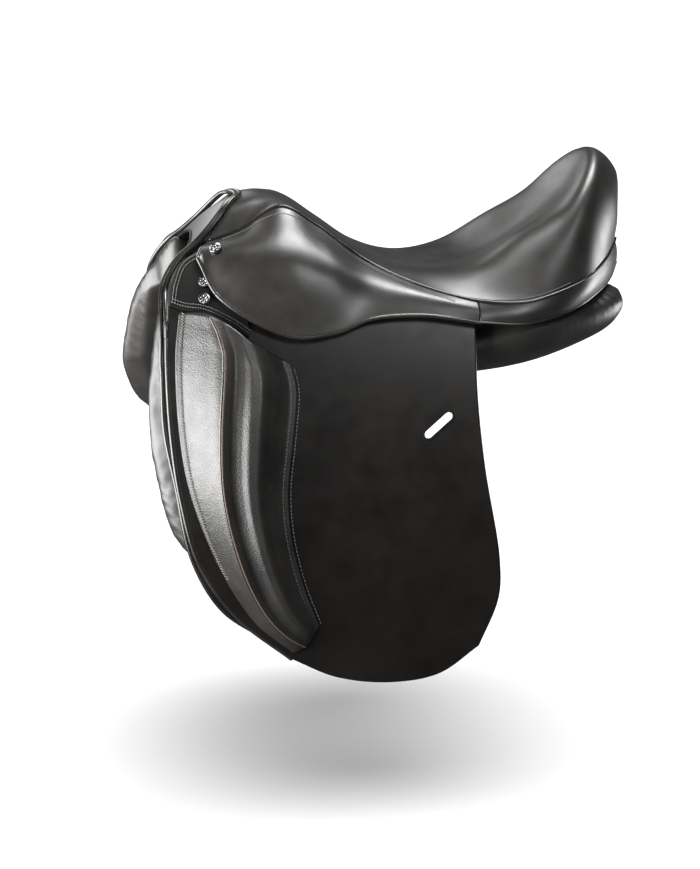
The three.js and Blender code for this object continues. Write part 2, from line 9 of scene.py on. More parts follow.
import bmesh
import bpy
import numpy as np
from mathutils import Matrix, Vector


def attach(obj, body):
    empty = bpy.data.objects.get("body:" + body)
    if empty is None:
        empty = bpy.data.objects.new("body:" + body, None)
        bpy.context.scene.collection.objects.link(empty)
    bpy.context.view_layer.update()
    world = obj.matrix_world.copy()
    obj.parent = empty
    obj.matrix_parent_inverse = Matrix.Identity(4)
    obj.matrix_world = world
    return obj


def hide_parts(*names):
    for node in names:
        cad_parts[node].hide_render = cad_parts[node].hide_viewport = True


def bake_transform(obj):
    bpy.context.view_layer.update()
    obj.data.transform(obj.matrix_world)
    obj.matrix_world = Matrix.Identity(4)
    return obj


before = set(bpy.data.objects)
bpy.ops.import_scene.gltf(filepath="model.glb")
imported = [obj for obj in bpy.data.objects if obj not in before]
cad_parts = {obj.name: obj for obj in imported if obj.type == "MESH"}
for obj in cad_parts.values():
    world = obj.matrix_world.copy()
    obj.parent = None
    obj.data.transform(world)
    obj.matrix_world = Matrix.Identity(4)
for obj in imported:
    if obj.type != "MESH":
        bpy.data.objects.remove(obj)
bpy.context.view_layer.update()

MM = 0.001
SIDES = (("near", 1), ("off", -1))
ALONG_X = np.array([1.0, 0.0, 0.0])


# ------------------------------------------------------------------ curves
def spline(points, shares):
    """Centripetal curves at shares from 0 to 1 of their points: one curve, points (n, k), at shares
    of any shape, or m curves, points (n, m, k), each at the shares of its own column."""
    points = np.asarray(points, float)
    place = np.clip(shares, 0, 1) * (len(points) - 1)
    i = np.minimum(place.astype(int), len(points) - 2)
    w = (place - i)[..., None]
    longer = np.concatenate([2 * points[:1] - points[1:2], points, 2 * points[-1:] - points[-2:-1]])
    columns = () if points.ndim == 2 else (np.arange(points.shape[1]),)
    p0, p1, p2, p3 = (longer[(i + k, *columns)] for k in range(4))
    d0, d1, d2 = (np.maximum(np.linalg.norm(b - a, axis=-1, keepdims=True) ** 0.5, 1e-4)
                  for a, b in ((p0, p1), (p1, p2), (p2, p3)))
    out = ((p1 - p0) / d0 - (p2 - p0) / (d0 + d1) + (p2 - p1) / d1) * d1
    into = ((p2 - p1) / d1 - (p3 - p1) / (d1 + d2) + (p3 - p2) / d2) * d1
    curved = (-3 * p1 + 3 * p2 - 2 * out - into) * w**2 + (2 * p1 - 2 * p2 + out + into) * w**3
    return p1 + out * w + curved


def across(curves, u, v):
    """Points of the surface through several curves: v along the curves and u from the first to the last."""
    u, v = np.broadcast_arrays(np.asarray(u, float), v)
    rows = np.stack([curve(v.ravel()) for curve in curves])
    return spline(rows, u.ravel()).reshape(*u.shape, 3)


def along(points, count):
    """count points spread evenly by length along a smooth curve through the given points."""
    return evenly(spline(points, np.linspace(0, 1, 40 * len(points))), count)


def evenly(dense, count):
    """count points spread evenly by length along a dense line."""
    steps = np.r_[0, np.cumsum(np.linalg.norm(np.diff(dense, axis=0), axis=1))]
    wanted = np.linspace(0, steps[-1], count)
    return np.stack([np.interp(wanted, steps, dense[:, k]) for k in range(dense.shape[1])], axis=1)


def smooth(x, low, high):
    """0 below low, 1 above high and a smooth step between."""
    t = np.clip((np.asarray(x, float) - low) / (high - low), 0, 1)
    return t * t * (3 - 2 * t)


def hump(x, centre, width):
    return np.exp(-(((x - centre) / width) ** 2))


def ripple(y, z, size, seed):
    """Soft irregular waves, about size long, from a few fixed sines."""
    total = 0
    for k in range(5):
        angle = 1.7 * k + seed
        turn = (y * math.cos(angle) + z * math.sin(angle)) / size
        total = total + np.sin(turn * (1 + 0.31 * k) + 2.3 * k * seed) / (1 + 0.4 * k)
    return total / 3.2


# ------------------------------------------------------------------ the saddle's surfaces
def side(y, z):
    """The flap's outer face: X against Y and Z."""
    down = 90 - z
    return 98 + 0.46 * down - 0.00045 * down**2 + 0.05 * y - 25 * np.exp(-down / 30)


SEAT_CENTRE = [
    (0, -121, 130), (0, -98, 131), (0, -70, 124), (0, -36, 101), (0, 10, 69), (0, 60, 50), (0, 118, 52),
    (0, 172, 78), (0, 225, 122), (0, 260, 168), (0, 288, 146), (0, 291, 108), (0, 290, 77),
]
SEAT_SHOULDER = [
    (34, -133, 118), (32, -105, 125), (32, -75, 124), (36, -39, 101), (48, 6, 70), (66, 57, 53),
    (88, 114, 58), (82, 166, 88), (84, 205, 108), (68, 247, 142), (52, 272, 128), (34, 284, 96), (9, 289, 76),
]
SEAT_SEAM = [
    (56, -162, 86), (54, -124, 98), (56, -82, 121), (60, -43, 100), (77, 2, 67), (108, 55, 44),
    (133, 110, 31), (143, 158, 30), (136, 192, 37), (115, 229, 47), (82, 256, 58), (48, 275, 68),
    (16, 288, 73),
]
SKIRT_TOP = [(58, -162, 85)] + SEAT_SEAM[1:7]
SKIRT_BULGE = [
    (76, -167, 83), (99, -141, 82), (118, -83, 77), (118, -40, 67), (115, 1, 50), (127, 53, 37),
    (143, 110, 23),
]
SKIRT_EDGE = [
    (91, -170, 77), (119, -153, 41), (141, -84, 3), (142, -38, 5), (139, 0, 18), (140, 52, 20),
    (147, 109, 12),
]
STRIP_TOP = [(133.2, 109, 31), *SEAT_SEAM[7:12], (0, 290, 73)]
STRIP_EDGE = [
    (147, 108.5, 11.5), (149, 155, 9), (140, 192, 14), (122, 220, 20), (94, 246, 27), (56, 271, 34),
    (0, 295, 42),
]
FACING_LOWER = [(58, -186, 66), (34, -174, 82), (0, -170, 88)]
FACING_UPPER = [(54, -160, 88), (32, -136, 115), (0, -126, 124)]

# The line that the flap and skirt bend about, and the directions along and down the side there.
HINGE = np.array([118.0, -151.0, 44.0])
HINGE_LINE = np.array([24.0, 261.0, -20.0]) / math.sqrt(24**2 + 261**2 + 20**2)
DOWN_SLOPE = np.array([0.5, 0.0, -0.86])
DOWN_SLOPE -= DOWN_SLOPE.dot(HINGE_LINE) * HINGE_LINE
DOWN_SLOPE /= np.linalg.norm(DOWN_SLOPE)


def mirrored(points):
    return np.asarray(points, float) * (-1, 1, 1)


def curve_of(points, flip=1):
    return lambda v: spline(points, v) * (flip, 1, 1)


def seat_at(u, v):
    """The seat's surface: v from the pommel to the back of the cantle, u from the off to the near seam."""
    return across([curve_of(SEAT_SEAM, -1), curve_of(SEAT_SHOULDER, -1), curve_of(SEAT_CENTRE),
                   curve_of(SEAT_SHOULDER), curve_of(SEAT_SEAM)], u, v)


def skirt_at(u, v):
    """The skirt's surface: v from front to back, u from the seam down to the lower edge."""
    return across([curve_of(SKIRT_TOP), curve_of(SKIRT_BULGE), curve_of(SKIRT_EDGE)], u, v)


def strip_at(u, v):
    """The strip behind the skirt: v from the skirt round to the centre, u from its top to its edge."""
    u, v = np.broadcast_arrays(np.asarray(u, float), v)
    top, edge = spline(STRIP_TOP, v), spline(STRIP_EDGE, v)
    outward = np.stack([top[..., 0] / 150, np.maximum(0, (top[..., 1] - 180) / 110), 0 * v], axis=-1)
    return top + (edge - top) * u[..., None] + (2.5 * np.sin(math.pi * u))[..., None] * outward


def facing_at(u, v):
    """The pommel's front face: u from the off to the near side, v from its lower to its upper edge."""
    u, v = np.broadcast_arrays(np.asarray(u, float), v)
    lower, upper = (spline([mirrored(half[0]), mirrored(half[1]), half[2], half[1], half[0]], u)
                    for half in (FACING_LOWER, FACING_UPPER))
    crown = (2.0 * np.sin(math.pi * v))[..., None] * np.array([0, -0.6, 0.8])
    return lower + (upper - lower) * v[..., None] + crown


# ------------------------------------------------------------------ meshes
def crowded(count):
    """Shares from 0 to 1 that crowd towards both ends, for a rounded edge."""
    return (1 - np.cos(np.linspace(0, math.pi, count))) / 2


def normals_of(grid):
    n = np.cross(np.gradient(grid, axis=1), np.gradient(grid, axis=0))
    return n / np.maximum(np.linalg.norm(n, axis=2, keepdims=True), 1e-9)


def quads(rows, columns, first=0, turned=False, closed=False):
    """Quad faces of a grid of points, row by row. closed joins the last column to the first."""
    faces = []
    for j in range(rows - 1):
        for i in range(columns if closed else columns - 1):
            a, b = first + j * columns + i, first + j * columns + (i + 1) % columns
            face = (a, b, b + columns, a + columns)
            faces.append(face[::-1] if turned else face)
    return faces


def nearest(points, targets):
    """How far each point lies from the nearest target."""
    out = np.empty(len(points))
    for first in range(0, len(points), 2000):
        block = points[first:first + 2000]
        out[first:first + 2000] = np.linalg.norm(block[:, None] - targets[None], axis=2).min(axis=1)
    return out


def surface_normal(surface, u, v, step=0.004):
    """The normals of a surface at shares u and v."""
    u, v = np.broadcast_arrays(np.asarray(u, float), v)
    ahead = surface(np.minimum(1, u + step), v) - surface(np.maximum(0, u - step), v)
    aside = surface(u, np.minimum(1, v + step)) - surface(u, np.maximum(0, v - step))
    n = np.cross(ahead, aside)
    return n / np.maximum(np.linalg.norm(n, axis=-1, keepdims=True), 1e-9)


def two_faced(middle, outward, half):
    """The two faces of a sheet about a middle grid, half its thickness away on each side."""
    rows, columns = middle.shape[:2]
    above, below = middle + outward * half, middle - outward * half
    verts = np.concatenate([above.reshape(-1, 3), below.reshape(-1, 3)])
    return verts, quads(rows, columns) + quads(rows, columns, rows * columns, turned=True)


def rounded_sheet(middle, outward, half):
    """A closed sheet about a middle grid. half is its half thickness, which the edge rounds off."""
    border = np.concatenate([middle[0], middle[-1], middle[:, 0], middle[:, -1]])
    distance = nearest(middle.reshape(-1, 3), border).reshape(middle.shape[:2])
    inside = np.clip(distance / np.maximum(half, 1e-6), 0, 1)
    return two_faced(middle, outward, (half * np.sqrt(np.clip(1 - (1 - inside) ** 2, 0, 1)))[..., None])


def sheet_on(surface, us, vs, thickness, sunk=0.0, lift=None):
    """A rounded sheet whose outer face is a surface, sunk below it by so much."""
    grid = surface(us[None, :], vs[:, None])
    normal = normals_of(grid)
    outer = grid - normal * sunk
    if lift is not None:
        outer = outer + normal * lift(grid)[..., None]
    return rounded_sheet(outer - normal * thickness / 2, normal, np.full(grid.shape[:2], thickness / 2))


class Outline:
    """A flat outline of four curves in Y and Z, filled evenly from its edges."""

    def __init__(self, top, bottom, front, rear):
        lines = (top, bottom, front, rear)
        self.top, self.bottom, self.front, self.rear = (
            along([(0, *p) for p in line], 400)[:, 1:] for line in lines)

    def grid(self, ss, downs):
        """(y, z) points at shares ss across the outline and shares downs of the way down it."""
        def pick(line, t):
            return np.stack([np.interp(t, np.linspace(0, 1, 400), line[:, k]) for k in (0, 1)], 1)

        t, b = pick(self.top, ss)[None], pick(self.bottom, ss)[None]
        f, r = pick(self.front, downs)[:, None], pick(self.rear, downs)[:, None]
        s, d = ss[None, :, None], downs[:, None, None]
        corners = (self.top[0] * (1 - s) * (1 - d) + self.top[-1] * s * (1 - d)
                   + self.bottom[0] * (1 - s) * d + self.bottom[-1] * s * d)
        return t * (1 - d) + b * d + f * (1 - s) + r * s - corners


def on_side(yz, offset):
    """Points on the saddle's side, at an offset along X from the flap's outer face."""
    y, z = yz[..., 0], yz[..., 1]
    return np.stack([side(y, z) + offset, y, z], axis=-1)


def side_normals(yz):
    """The outward normals of the saddle's side at (y, z) points."""
    y, z = yz[..., 0], yz[..., 1]
    slope = side(y, z - 1) - side(y, z + 1)
    n = np.stack([np.ones_like(y), np.full_like(y, -0.05), slope / 2], axis=-1)
    return n / np.linalg.norm(n, axis=-1, keepdims=True)


def off_side(yz, offset):
    """(y, z) points on the side, moved out from the flap's face by an offset along its normals."""
    yz = np.asarray(yz, float)
    return on_side(yz, 0) + side_normals(yz) * offset


def side_sheet(outline, low, high, columns, rows, wave=None):
    """A leather sheet on the side of the saddle, from one offset to another, with rounded edges."""
    yz = outline.grid(crowded(columns), crowded(rows))
    offset = (low + high) / 2
    if wave is not None:
        offset = offset + wave(yz[..., 0], yz[..., 1])
    return rounded_sheet(on_side(yz, offset), ALONG_X, np.full(yz.shape[:2], (high - low) / 2))


def tube(line, radius, around=10, closed=False):
    """A round cord along a line, with pointed tips or closed on itself."""
    line = np.asarray(line, float)
    ahead = np.roll(line, -1, axis=0) - np.roll(line, 1, axis=0) if closed else np.gradient(line, axis=0)
    ahead /= np.linalg.norm(ahead, axis=1, keepdims=True)
    sideways = np.cross(ahead[0], (0.31, 0.2, 0.93))
    rings, angles = [], np.linspace(0, 2 * math.pi, around, endpoint=False)
    for point, tangent in zip(line, ahead):
        sideways = sideways - tangent * sideways.dot(tangent)
        sideways = sideways / np.linalg.norm(sideways)
        up = np.cross(tangent, sideways)
        rings.append(point + radius * (np.outer(np.cos(angles), sideways) + np.outer(np.sin(angles), up)))
    verts = np.concatenate(rings)
    if closed:
        faces = quads(len(line) + 1, around, closed=True)
        return verts, [tuple(k % len(verts) for k in face) for face in faces]
    tips = [line[0] - ahead[0] * radius * 0.6, line[-1] + ahead[-1] * radius * 0.6]
    return with_tips(verts, len(line), around, tips)


def with_tips(verts, rings, around, tips):
    """Closes a tube of rings at both ends, each with a fan to its tip."""
    faces = quads(rings, around, closed=True)
    first, last, start = len(verts), len(verts) + 1, (rings - 1) * around
    for i in range(around):
        j = (i + 1) % around
        faces += [(j, i, first), (start + i, start + j, last)]
    return np.concatenate([verts, tips]), faces


def joined(parts):
    """Several meshes as one."""
    verts, faces, first = [], [], 0
    for part_verts, part_faces in parts:
        verts.append(part_verts)
        faces += [tuple(k + first for k in face) for face in part_faces]
        first += len(part_verts)
    return np.concatenate(verts), faces


STITCH_SINK = 0.1


def stitches(line, normals, pitch, radius=0.42, fill=0.56, tilt=0.0):
    """A row of thread stitches along a line that lies on leather. fill is a stitch's share of the pitch."""
    length = float(np.linalg.norm(np.diff(line, axis=0), axis=1).sum())
    count = max(2, int(length / pitch))
    spots = evenly(np.concatenate([line, normals], axis=1), count + 1)
    parts = []
    for a, b in zip(spots[:-1], spots[1:]):
        start, end, normal = a[:3], b[:3], (a[3:] + b[3:]) / 2
        normal = normal / np.linalg.norm(normal)
        step = end - start
        sideways = np.cross(normal, step) * tilt
        near, far = start + step * (1 - fill) / 2 - sideways, end - step * (1 - fill) / 2 + sideways
        arch = [near + (far - near) * t + normal * (radius * (math.sin(math.pi * t) - STITCH_SINK))
                for t in (0, 0.2, 0.5, 0.8, 1)]
        parts.append(tube(arch, radius, around=6))
    return joined(parts)


def make(name, geometry, material):
    """A smooth mesh object from millimetre vertices."""
    verts, faces = geometry
    mesh = bpy.data.meshes.new(name)
    mesh.from_pydata((np.asarray(verts) * MM).tolist(), [], [tuple(int(k) for k in f) for f in faces])
    mesh.validate()
    mesh.materials.append(material)
    obj = bpy.data.objects.new(name, mesh)
    bpy.context.collection.objects.link(obj)
    weld(obj)
    return obj


def weld(obj):
    """Joins the vertices of the two faces of a sheet along its edge, and turns faces outward."""
    work = bmesh.new()
    work.from_mesh(obj.data)
    bmesh.ops.remove_doubles(work, verts=work.verts, dist=2e-6)
    bmesh.ops.dissolve_degenerate(work, edges=work.edges, dist=1e-6)
    bmesh.ops.recalc_face_normals(work, faces=work.faces)
    work.to_mesh(obj.data)
    work.free()
    obj.data.polygons.foreach_set("use_smooth", [True] * len(obj.data.polygons))


def add_modifier(obj, kind, **settings):
    modifier = obj.modifiers.new(kind.lower(), kind)
    for name, value in settings.items():
        setattr(modifier, name, value)
    return modifier


def apply_modifiers(obj):
    """Turns what an object's modifiers show into its own mesh."""
    depsgraph = bpy.context.evaluated_depsgraph_get()
    mesh = bpy.data.meshes.new_from_object(obj.evaluated_get(depsgraph))
    obj.modifiers.clear()
    obj.data = mesh


def follow(obj, sign, body, bend=None):
    """Rides on a body. A piece given a bend is only baked in place: it is neither bent nor put on a body."""
    if bend is None:
        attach(obj, body)
        return
    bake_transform(obj)


def put(name, geometry, material, slot, sign, bodies, stands_for, fill=None, cutter=None, border=None):
    """One piece: made, cut where it has a cutter, put on its body unless it has a bend, and the CAD nodes it
    replaces hidden.
    """
    obj = make(name, geometry, material)
    if cutter is not None:
        cutter(obj, sign)
    if border is not None:
        match_normals(obj, *(part * (sign, 1, 1) for part in border))
    follow(obj, sign, *bodies)
    if stands_for:
        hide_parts(*stands_for)


def pair(name, geometry, material, slot, body="root", stands_for=(), bend=None, **more):
    """The near piece and its mirror image on the off side. {} in a body or node name is the side."""
    verts, faces = geometry
    for word, sign in SIDES:
        joint = bend and (bend[0].format(word), bend[1].format(word), bend[2])
        put(f"{name}_{word}", (verts * (sign, 1, 1), faces), material, slot, sign, (body.format(word), joint),
            [node.format(word) for node in stands_for], **more)


def single(name, geometry, material, slot, stands_for=(), fill=None):
    """A piece on the root body."""
    put(name, geometry, material, slot, 1, ("root",), stands_for, fill)


def match_normals(obj, points, normals):
    """Gives the vertices at the points, in millimetres, those normals, and leaves the rest as they are."""
    wanted = np.zeros((len(obj.data.vertices), 3))
    co = np.array([v.co for v in obj.data.vertices])
    for point, normal in zip(points * MM, normals):
        wanted[np.linalg.norm(co - point, axis=1) < 2e-5] = normal
    obj.data.normals_split_custom_set_from_vertices(wanted.tolist())


# ------------------------------------------------------------------ materials
class Finish:
    """A material's shader, with the nodes of the patterns that feed it."""

    def __init__(self, name):
        self.material = bpy.data.materials.new(name)
        self.material.use_nodes = True
        self.tree = self.material.node_tree
        self.where = self.tree.nodes.new("ShaderNodeTexCoord").outputs["Object"]

    def fill(self, node, sockets):
        """Links a node's sockets to the outputs given, and sets those given a plain value."""
        for socket, value in sockets.items():
            if isinstance(value, bpy.types.NodeSocket):
                self.tree.links.new(value, node.inputs[socket])
            else:
                node.inputs[socket].default_value = value
        return node

    def node(self, kind, sockets, **settings):
        node = self.tree.nodes.new("ShaderNode" + kind)
        for setting, value in settings.items():
            setattr(node, setting, value)
        return self.fill(node, sockets)

    def noise(self, scale, detail, stretch=(1, 1, 1)):
        mapping = self.node("Mapping", {"Vector": self.where, "Scale": stretch})
        texture = {"Vector": mapping.outputs["Vector"], "Scale": scale, "Detail": detail}
        return self.node("TexNoise", texture).outputs["Fac"]

    def cells(self, scale):
        texture = {"Vector": self.where, "Scale": scale, "Randomness": 0.9}
        return self.node("TexVoronoi", texture).outputs["Distance"]

    def waves(self, direction, scale, distortion):
        texture = {"Vector": self.where, "Scale": scale, "Distortion": distortion}
        return self.node("TexWave", texture, bands_direction=direction).outputs["Fac"]

    def remap(self, value, low, high, to_low, to_high):
        limits = {"From Min": low, "From Max": high, "To Min": to_low, "To Max": to_high}
        return self.node("MapRange", {"Value": value, **limits}).outputs["Result"]

    def ramp(self, value, dark, light):
        node = self.node("ValToRGB", {"Fac": value})
        for element, colour in zip(node.color_ramp.elements, (dark, light)):
            element.color = (*colour, 1)
        return node.outputs["Color"]

    def bump(self, height, strength, distance, under=None):
        sockets = {"Height": height, "Strength": strength, "Distance": distance}
        if under is not None:
            sockets["Normal"] = under
        return self.node("Bump", sockets).outputs["Normal"]

    def made(self, sockets):
        """The material, once its shader's sockets are filled."""
        self.fill(self.tree.nodes["Principled BSDF"], sockets)
        return self.material


# How fine leather's patterns are, per metre: clouds of dye, patches of polish and folds.
DYE_CLOUDS, POLISH_PATCHES, FOLDS = 22, 60, 140


def leather(name, dark, light, rough, grain=1500, grain_depth=0.00006, crease=0.00012, gloss=0.5):
    """Dyed leather: pebbled cells, soft creases, uneven dye and uneven polish."""
    finish = Finish(name)
    dye = finish.remap(finish.noise(DYE_CLOUDS, 5), 0.35, 0.65, 0, 1)
    folds = finish.bump(finish.noise(FOLDS, 6), 0.5, crease)
    return finish.made({
        "Base Color": finish.ramp(dye, dark, light),
        "Roughness": finish.remap(finish.noise(POLISH_PATCHES, 6), 0.3, 0.7, *rough),
        "Normal": finish.bump(finish.cells(grain), 0.6, grain_depth, folds),
        "Specular IOR Level": gloss,
    })


def thread(name, dark, light):
    """Waxed thread: fine twisted strands."""
    finish = Finish(name)
    strands = finish.noise(2600, 2)
    return finish.made({
        "Base Color": finish.ramp(strands, dark, light),
        "Normal": finish.bump(strands, 0.7, 0.0002),
        "Roughness": 0.5,
        "Sheen Weight": 0.3,
    })


def metal(name, colour, rough, brushed):
    """Bare metal: polished with faint scuffs, or brushed along Y."""
    finish = Finish(name)
    lines = finish.noise(900, 4, (1, 0.04, 1) if brushed else (1, 1, 1))
    return finish.made({
        "Metallic": 1.0,
        "Base Color": finish.ramp(lines, [c * 0.8 for c in colour], colour),
        "Roughness": finish.remap(lines, 0.3, 0.7, *rough),
        "Normal": finish.bump(lines, 0.25, 0.00003),
    })


def webbing(name):
    """Woven girth webbing: ribs along it and picks across it."""
    finish = Finish(name)
    threads = {0: finish.waves("Y", 190, 0.6), 1: finish.waves("Z", 260, 0)}
    weave = finish.node("Math", threads, operation="MULTIPLY").outputs[0]
    return finish.made({
        "Base Color": finish.ramp(weave, (0.09, 0.08, 0.06), (0.30, 0.27, 0.21)),
        "Normal": finish.bump(weave, 0.8, 0.0004),
        "Roughness": 0.85,
    })


def laminate(name):
    """Moulded laminate: thin bonded layers under a dull varnish."""
    finish = Finish(name)
    layers = finish.noise(320, 3, (0.2, 0.2, 2.5))
    return finish.made({
        "Base Color": finish.ramp(layers, (0.045, 0.032, 0.02), (0.13, 0.09, 0.055)),
        "Roughness": finish.remap(layers, 0.3, 0.7, 0.35, 0.55),
        "Normal": finish.bump(layers, 0.3, 0.0001),
    })


def foam(name):
    """Open-cell foam: pale, dry and pitted."""
    finish = Finish(name)
    pits = finish.cells(900)
    return finish.made({
        "Base Color": finish.ramp(pits, (0.45, 0.41, 0.30), (0.72, 0.68, 0.55)),
        "Normal": finish.bump(pits, 0.9, 0.0006),
        "Roughness": 0.95,
    })


SEAT_LEATHER = leather("seat_leather", (0.007, 0.0065, 0.006), (0.013, 0.012, 0.011), (0.33, 0.40),
                       grain=1900, grain_depth=0.00004, crease=0.00003)
FLAP_LEATHER = leather("flap_leather", (0.0025, 0.002, 0.0017), (0.005, 0.0042, 0.0037), (0.33, 0.41),
                       grain=1700, grain_depth=0.00004, crease=0.00008, gloss=0.3)
BLOCK_LEATHER = leather("block_leather", (0.008, 0.0075, 0.007), (0.015, 0.014, 0.013), (0.37, 0.46),
                        grain=560, grain_depth=0.00026, crease=0.0001)
PANEL_LEATHER = leather("panel_leather", (0.007, 0.0065, 0.006), (0.014, 0.013, 0.012), (0.37, 0.47),
                        grain=1500, grain_depth=0.00005, crease=0.00018)
PIPING_LEATHER = leather("piping_leather", (0.008, 0.0075, 0.007), (0.015, 0.014, 0.013), (0.20, 0.28),
                         grain=2200, grain_depth=0.00002, crease=0.00004)
BINDING_LEATHER = leather("binding_leather", (0.003, 0.0028, 0.0025), (0.006, 0.0055, 0.005), (0.50, 0.62),
                          grain=1900, grain_depth=0.00004, gloss=0.15)
BILLET_LEATHER = leather("billet_leather", (0.008, 0.0075, 0.007), (0.018, 0.016, 0.014), (0.40, 0.55),
                         grain=1300, grain_depth=0.00008, crease=0.0003)
BLACK_THREAD = thread("black_thread", (0.02, 0.019, 0.018), (0.06, 0.058, 0.055))
# Black thread lightened to grey: the lighter tone is a painted highlight for the sheen the thread catches.
SHEEN_PAINTED_THREAD = thread("thread_with_painted_sheen", (0.035, 0.034, 0.033), (0.10, 0.098, 0.096))
BROWN_EDGE = thread("edge_dye", (0.030, 0.017, 0.010), (0.075, 0.045, 0.028))
CHROME = metal("chrome", (0.17, 0.17, 0.175), (0.20, 0.32), False)
STEEL = metal("brushed_steel", (0.42, 0.43, 0.44), (0.28, 0.42), True)
WEBBING = webbing("girth_webbing")
LAMINATE = laminate("tree_laminate")
FOAM = foam("foam")


# ------------------------------------------------------------------ joints of the skirt
# Two bodies, and how far above and below the hinge line the leather would bend from one to the other. Nothing
# here bends it: a piece given one of these is only baked in place.
YOKE_BEND = ("root", "flap_{}", (12, 0))
LOBE_BEND = ("flap_{}", "skirt_{}", (0, 26))
HEAD_BEND = ("root", "flap_{}", (14, 4))
SKIRT_HALF = 2.0


def past_hinge(points):
    """How far below the hinge line near-side points lie, measured down the side."""
    return (points - HINGE) @ DOWN_SLOPE


def crossing(measure, low, high):
    """Where measure turns from negative to positive between two arrays, or high where it doesn't."""
    end = high
    for _ in range(26):
        middle = (low + high) / 2
        above = measure(middle) <= 0
        low, high = np.where(above, middle, low), np.where(above, high, middle)
    return np.where(measure(end) <= 0, end, (low + high) / 2)


def hinge_share(v):
    """The share down the skirt at which it crosses the hinge line."""
    v = np.asarray(v, float)
    return crossing(lambda u: past_hinge(skirt_at(u, v)), np.zeros_like(v), np.ones_like(v))


LOBE_START = float(crossing(lambda v: past_hinge(skirt_at(1.0, v)), np.array(0.0), np.array(0.5)))


def skirt_sheet(start, end, v0, v1, columns, rows, joint_column):
    """Part of the skirt from one share down it to another. joint_column, which meets the other part
    at the hinge, isn't rounded. Also gives that border's points and normals."""
    vs = v0 + (v1 - v0) * crowded(rows)
    first, last = start(vs)[:, None], end(vs)[:, None]
    us = first + (last - first) * crowded(columns)[None]
    grid = skirt_at(us, vs[:, None])
    normal = surface_normal(skirt_at, us, vs[:, None])
    ahead = vs < LOBE_START
    free = np.concatenate([grid[0], grid[-1], grid[:, -1 - joint_column], grid[ahead, joint_column]])
    inside = np.clip(nearest(grid.reshape(-1, 3), free) / SKIRT_HALF, 0, 1).reshape(grid.shape[:2])
    half = (SKIRT_HALF * np.sqrt(1 - (1 - inside) ** 2))[..., None]
    sheet = two_faced(grid - normal * SKIRT_HALF, normal, half)
    return sheet, (grid[~ahead, joint_column], normal[~ahead, joint_column])


# ------------------------------------------------------------------ seat
def build_seat():
    def crown(grid):
        return 0.35 * ripple(grid[..., 1], grid[..., 2] + grid[..., 0], 55, 2)

    us, vs = 0.004 + 0.992 * crowded(61), 0.004 + 0.992 * crowded(131)
    single("seat", sheet_on(seat_at, us, vs, 2.5, lift=crown), SEAT_LEATHER, "seat_leather",
           stands_for=["seat_cover"], fill=0.8)
    us, vs = 0.06 + 0.88 * crowded(33), 0.09 + 0.61 * crowded(49)
    single("seat_padding", sheet_on(seat_at, us, vs, 5.0, sunk=4.6), FOAM, "foam",
           stands_for=["seat_foam"], fill=0.9)


def seam_line(count, start, end, lift, inward=0.0):
    """Points and normals along the near seat seam. inward is a share of the way in to the shoulder."""
    vs = np.linspace(start, end, count)
    normals = surface_normal(seat_at, 0.985 - inward, vs)
    return seat_at(1 - inward, vs) + normals * lift, normals


def build_welts():
    line, _ = seam_line(240, 0.015, 0.985, 0.4)
    pair("seat_welt", tube(line, 1.5, 12), PIPING_LEATHER, "seat_leather", stands_for=["seat_welt_{}"])
    line, normals = seam_line(200, 0.10, 0.70, 0.15, inward=0.014)
    pair("seat_stitching", stitches(line, normals, 2.7), SHEEN_PAINTED_THREAD, "seat_leather")


# ------------------------------------------------------------------ skirts and rear strip
SKIRT_ROW_GAP = 11
SKIRT_ROW = (0.10, 0.93)


def build_skirts():
    yoke, border = skirt_sheet(np.zeros_like, hinge_share, 0.0, 1.0, 41, 121, -1)
    pair("skirt_yoke", yoke, SEAT_LEATHER, "seat_leather", bend=YOKE_BEND, stands_for=["skirt_yoke_{}"],
         border=border)
    lobe, border = skirt_sheet(hinge_share, np.ones_like, LOBE_START, 1.0, 33, 121, 0)
    pair("skirt_lobe", lobe, SEAT_LEATHER, "seat_leather", bend=LOBE_BEND, stands_for=["skirt_{}"],
         border=border)
    build_skirt_edge()
    vs = np.linspace(*SKIRT_ROW, 240)
    down = skirt_at(np.linspace(0, 1, 30)[:, None], vs[None])
    shares = SKIRT_ROW_GAP / np.linalg.norm(np.diff(down, axis=0), axis=-1).sum(axis=0)
    normals = surface_normal(skirt_at, shares, vs)
    row = stitches(skirt_at(shares, vs) + normals * 0.15, normals, 2.6)
    pair("skirt_stitching", row, SHEEN_PAINTED_THREAD, "seat_leather", bend=YOKE_BEND)


def build_skirt_edge():
    """The rolled edge: a bead round the skirt's front and lower edge, split where the lobe hinges."""
    corner = np.linspace(0.18, 1, 24)
    front = np.linspace(0, LOBE_START, 40)[1:]
    lower = np.linspace(LOBE_START, 1.0, 220)

    def bead(u, v):
        return tube(skirt_at(u, v) - surface_normal(skirt_at, u, v) * 1.9, 2.15, 12)

    front_edge = bead(np.r_[corner, np.ones(39)], np.r_[0 * corner, front])
    pair("skirt_edge_front", front_edge, PIPING_LEATHER, "seat_leather", bend=YOKE_BEND)
    pair("skirt_edge_lower", bead(1.0, lower), PIPING_LEATHER, "seat_leather", bend=LOBE_BEND)


def build_rear_strips():
    us, vs = crowded(25), crowded(111)
    pair("rear_strip", sheet_on(strip_at, us, 0.002 + 0.998 * vs, 3.0), SEAT_LEATHER, "seat_leather",
         stands_for=["rear_strip_{}"])
    line = strip_at(1.0, np.linspace(0, 1, 160))
    pair("rear_strip_edge", tube(line - (0.3, 0.6, 0), 1.3, 10), PIPING_LEATHER, "seat_leather")


# ------------------------------------------------------------------ pommel
POMMEL_WELT = [
    (0, -118, 128.5), (16, -120, 128), (30, -129, 125.5), (41, -138, 116.5), (50, -153, 100), (55, -168, 86),
    (60, -184, 73), (67, -196, 58), (76, -203, 42),
]
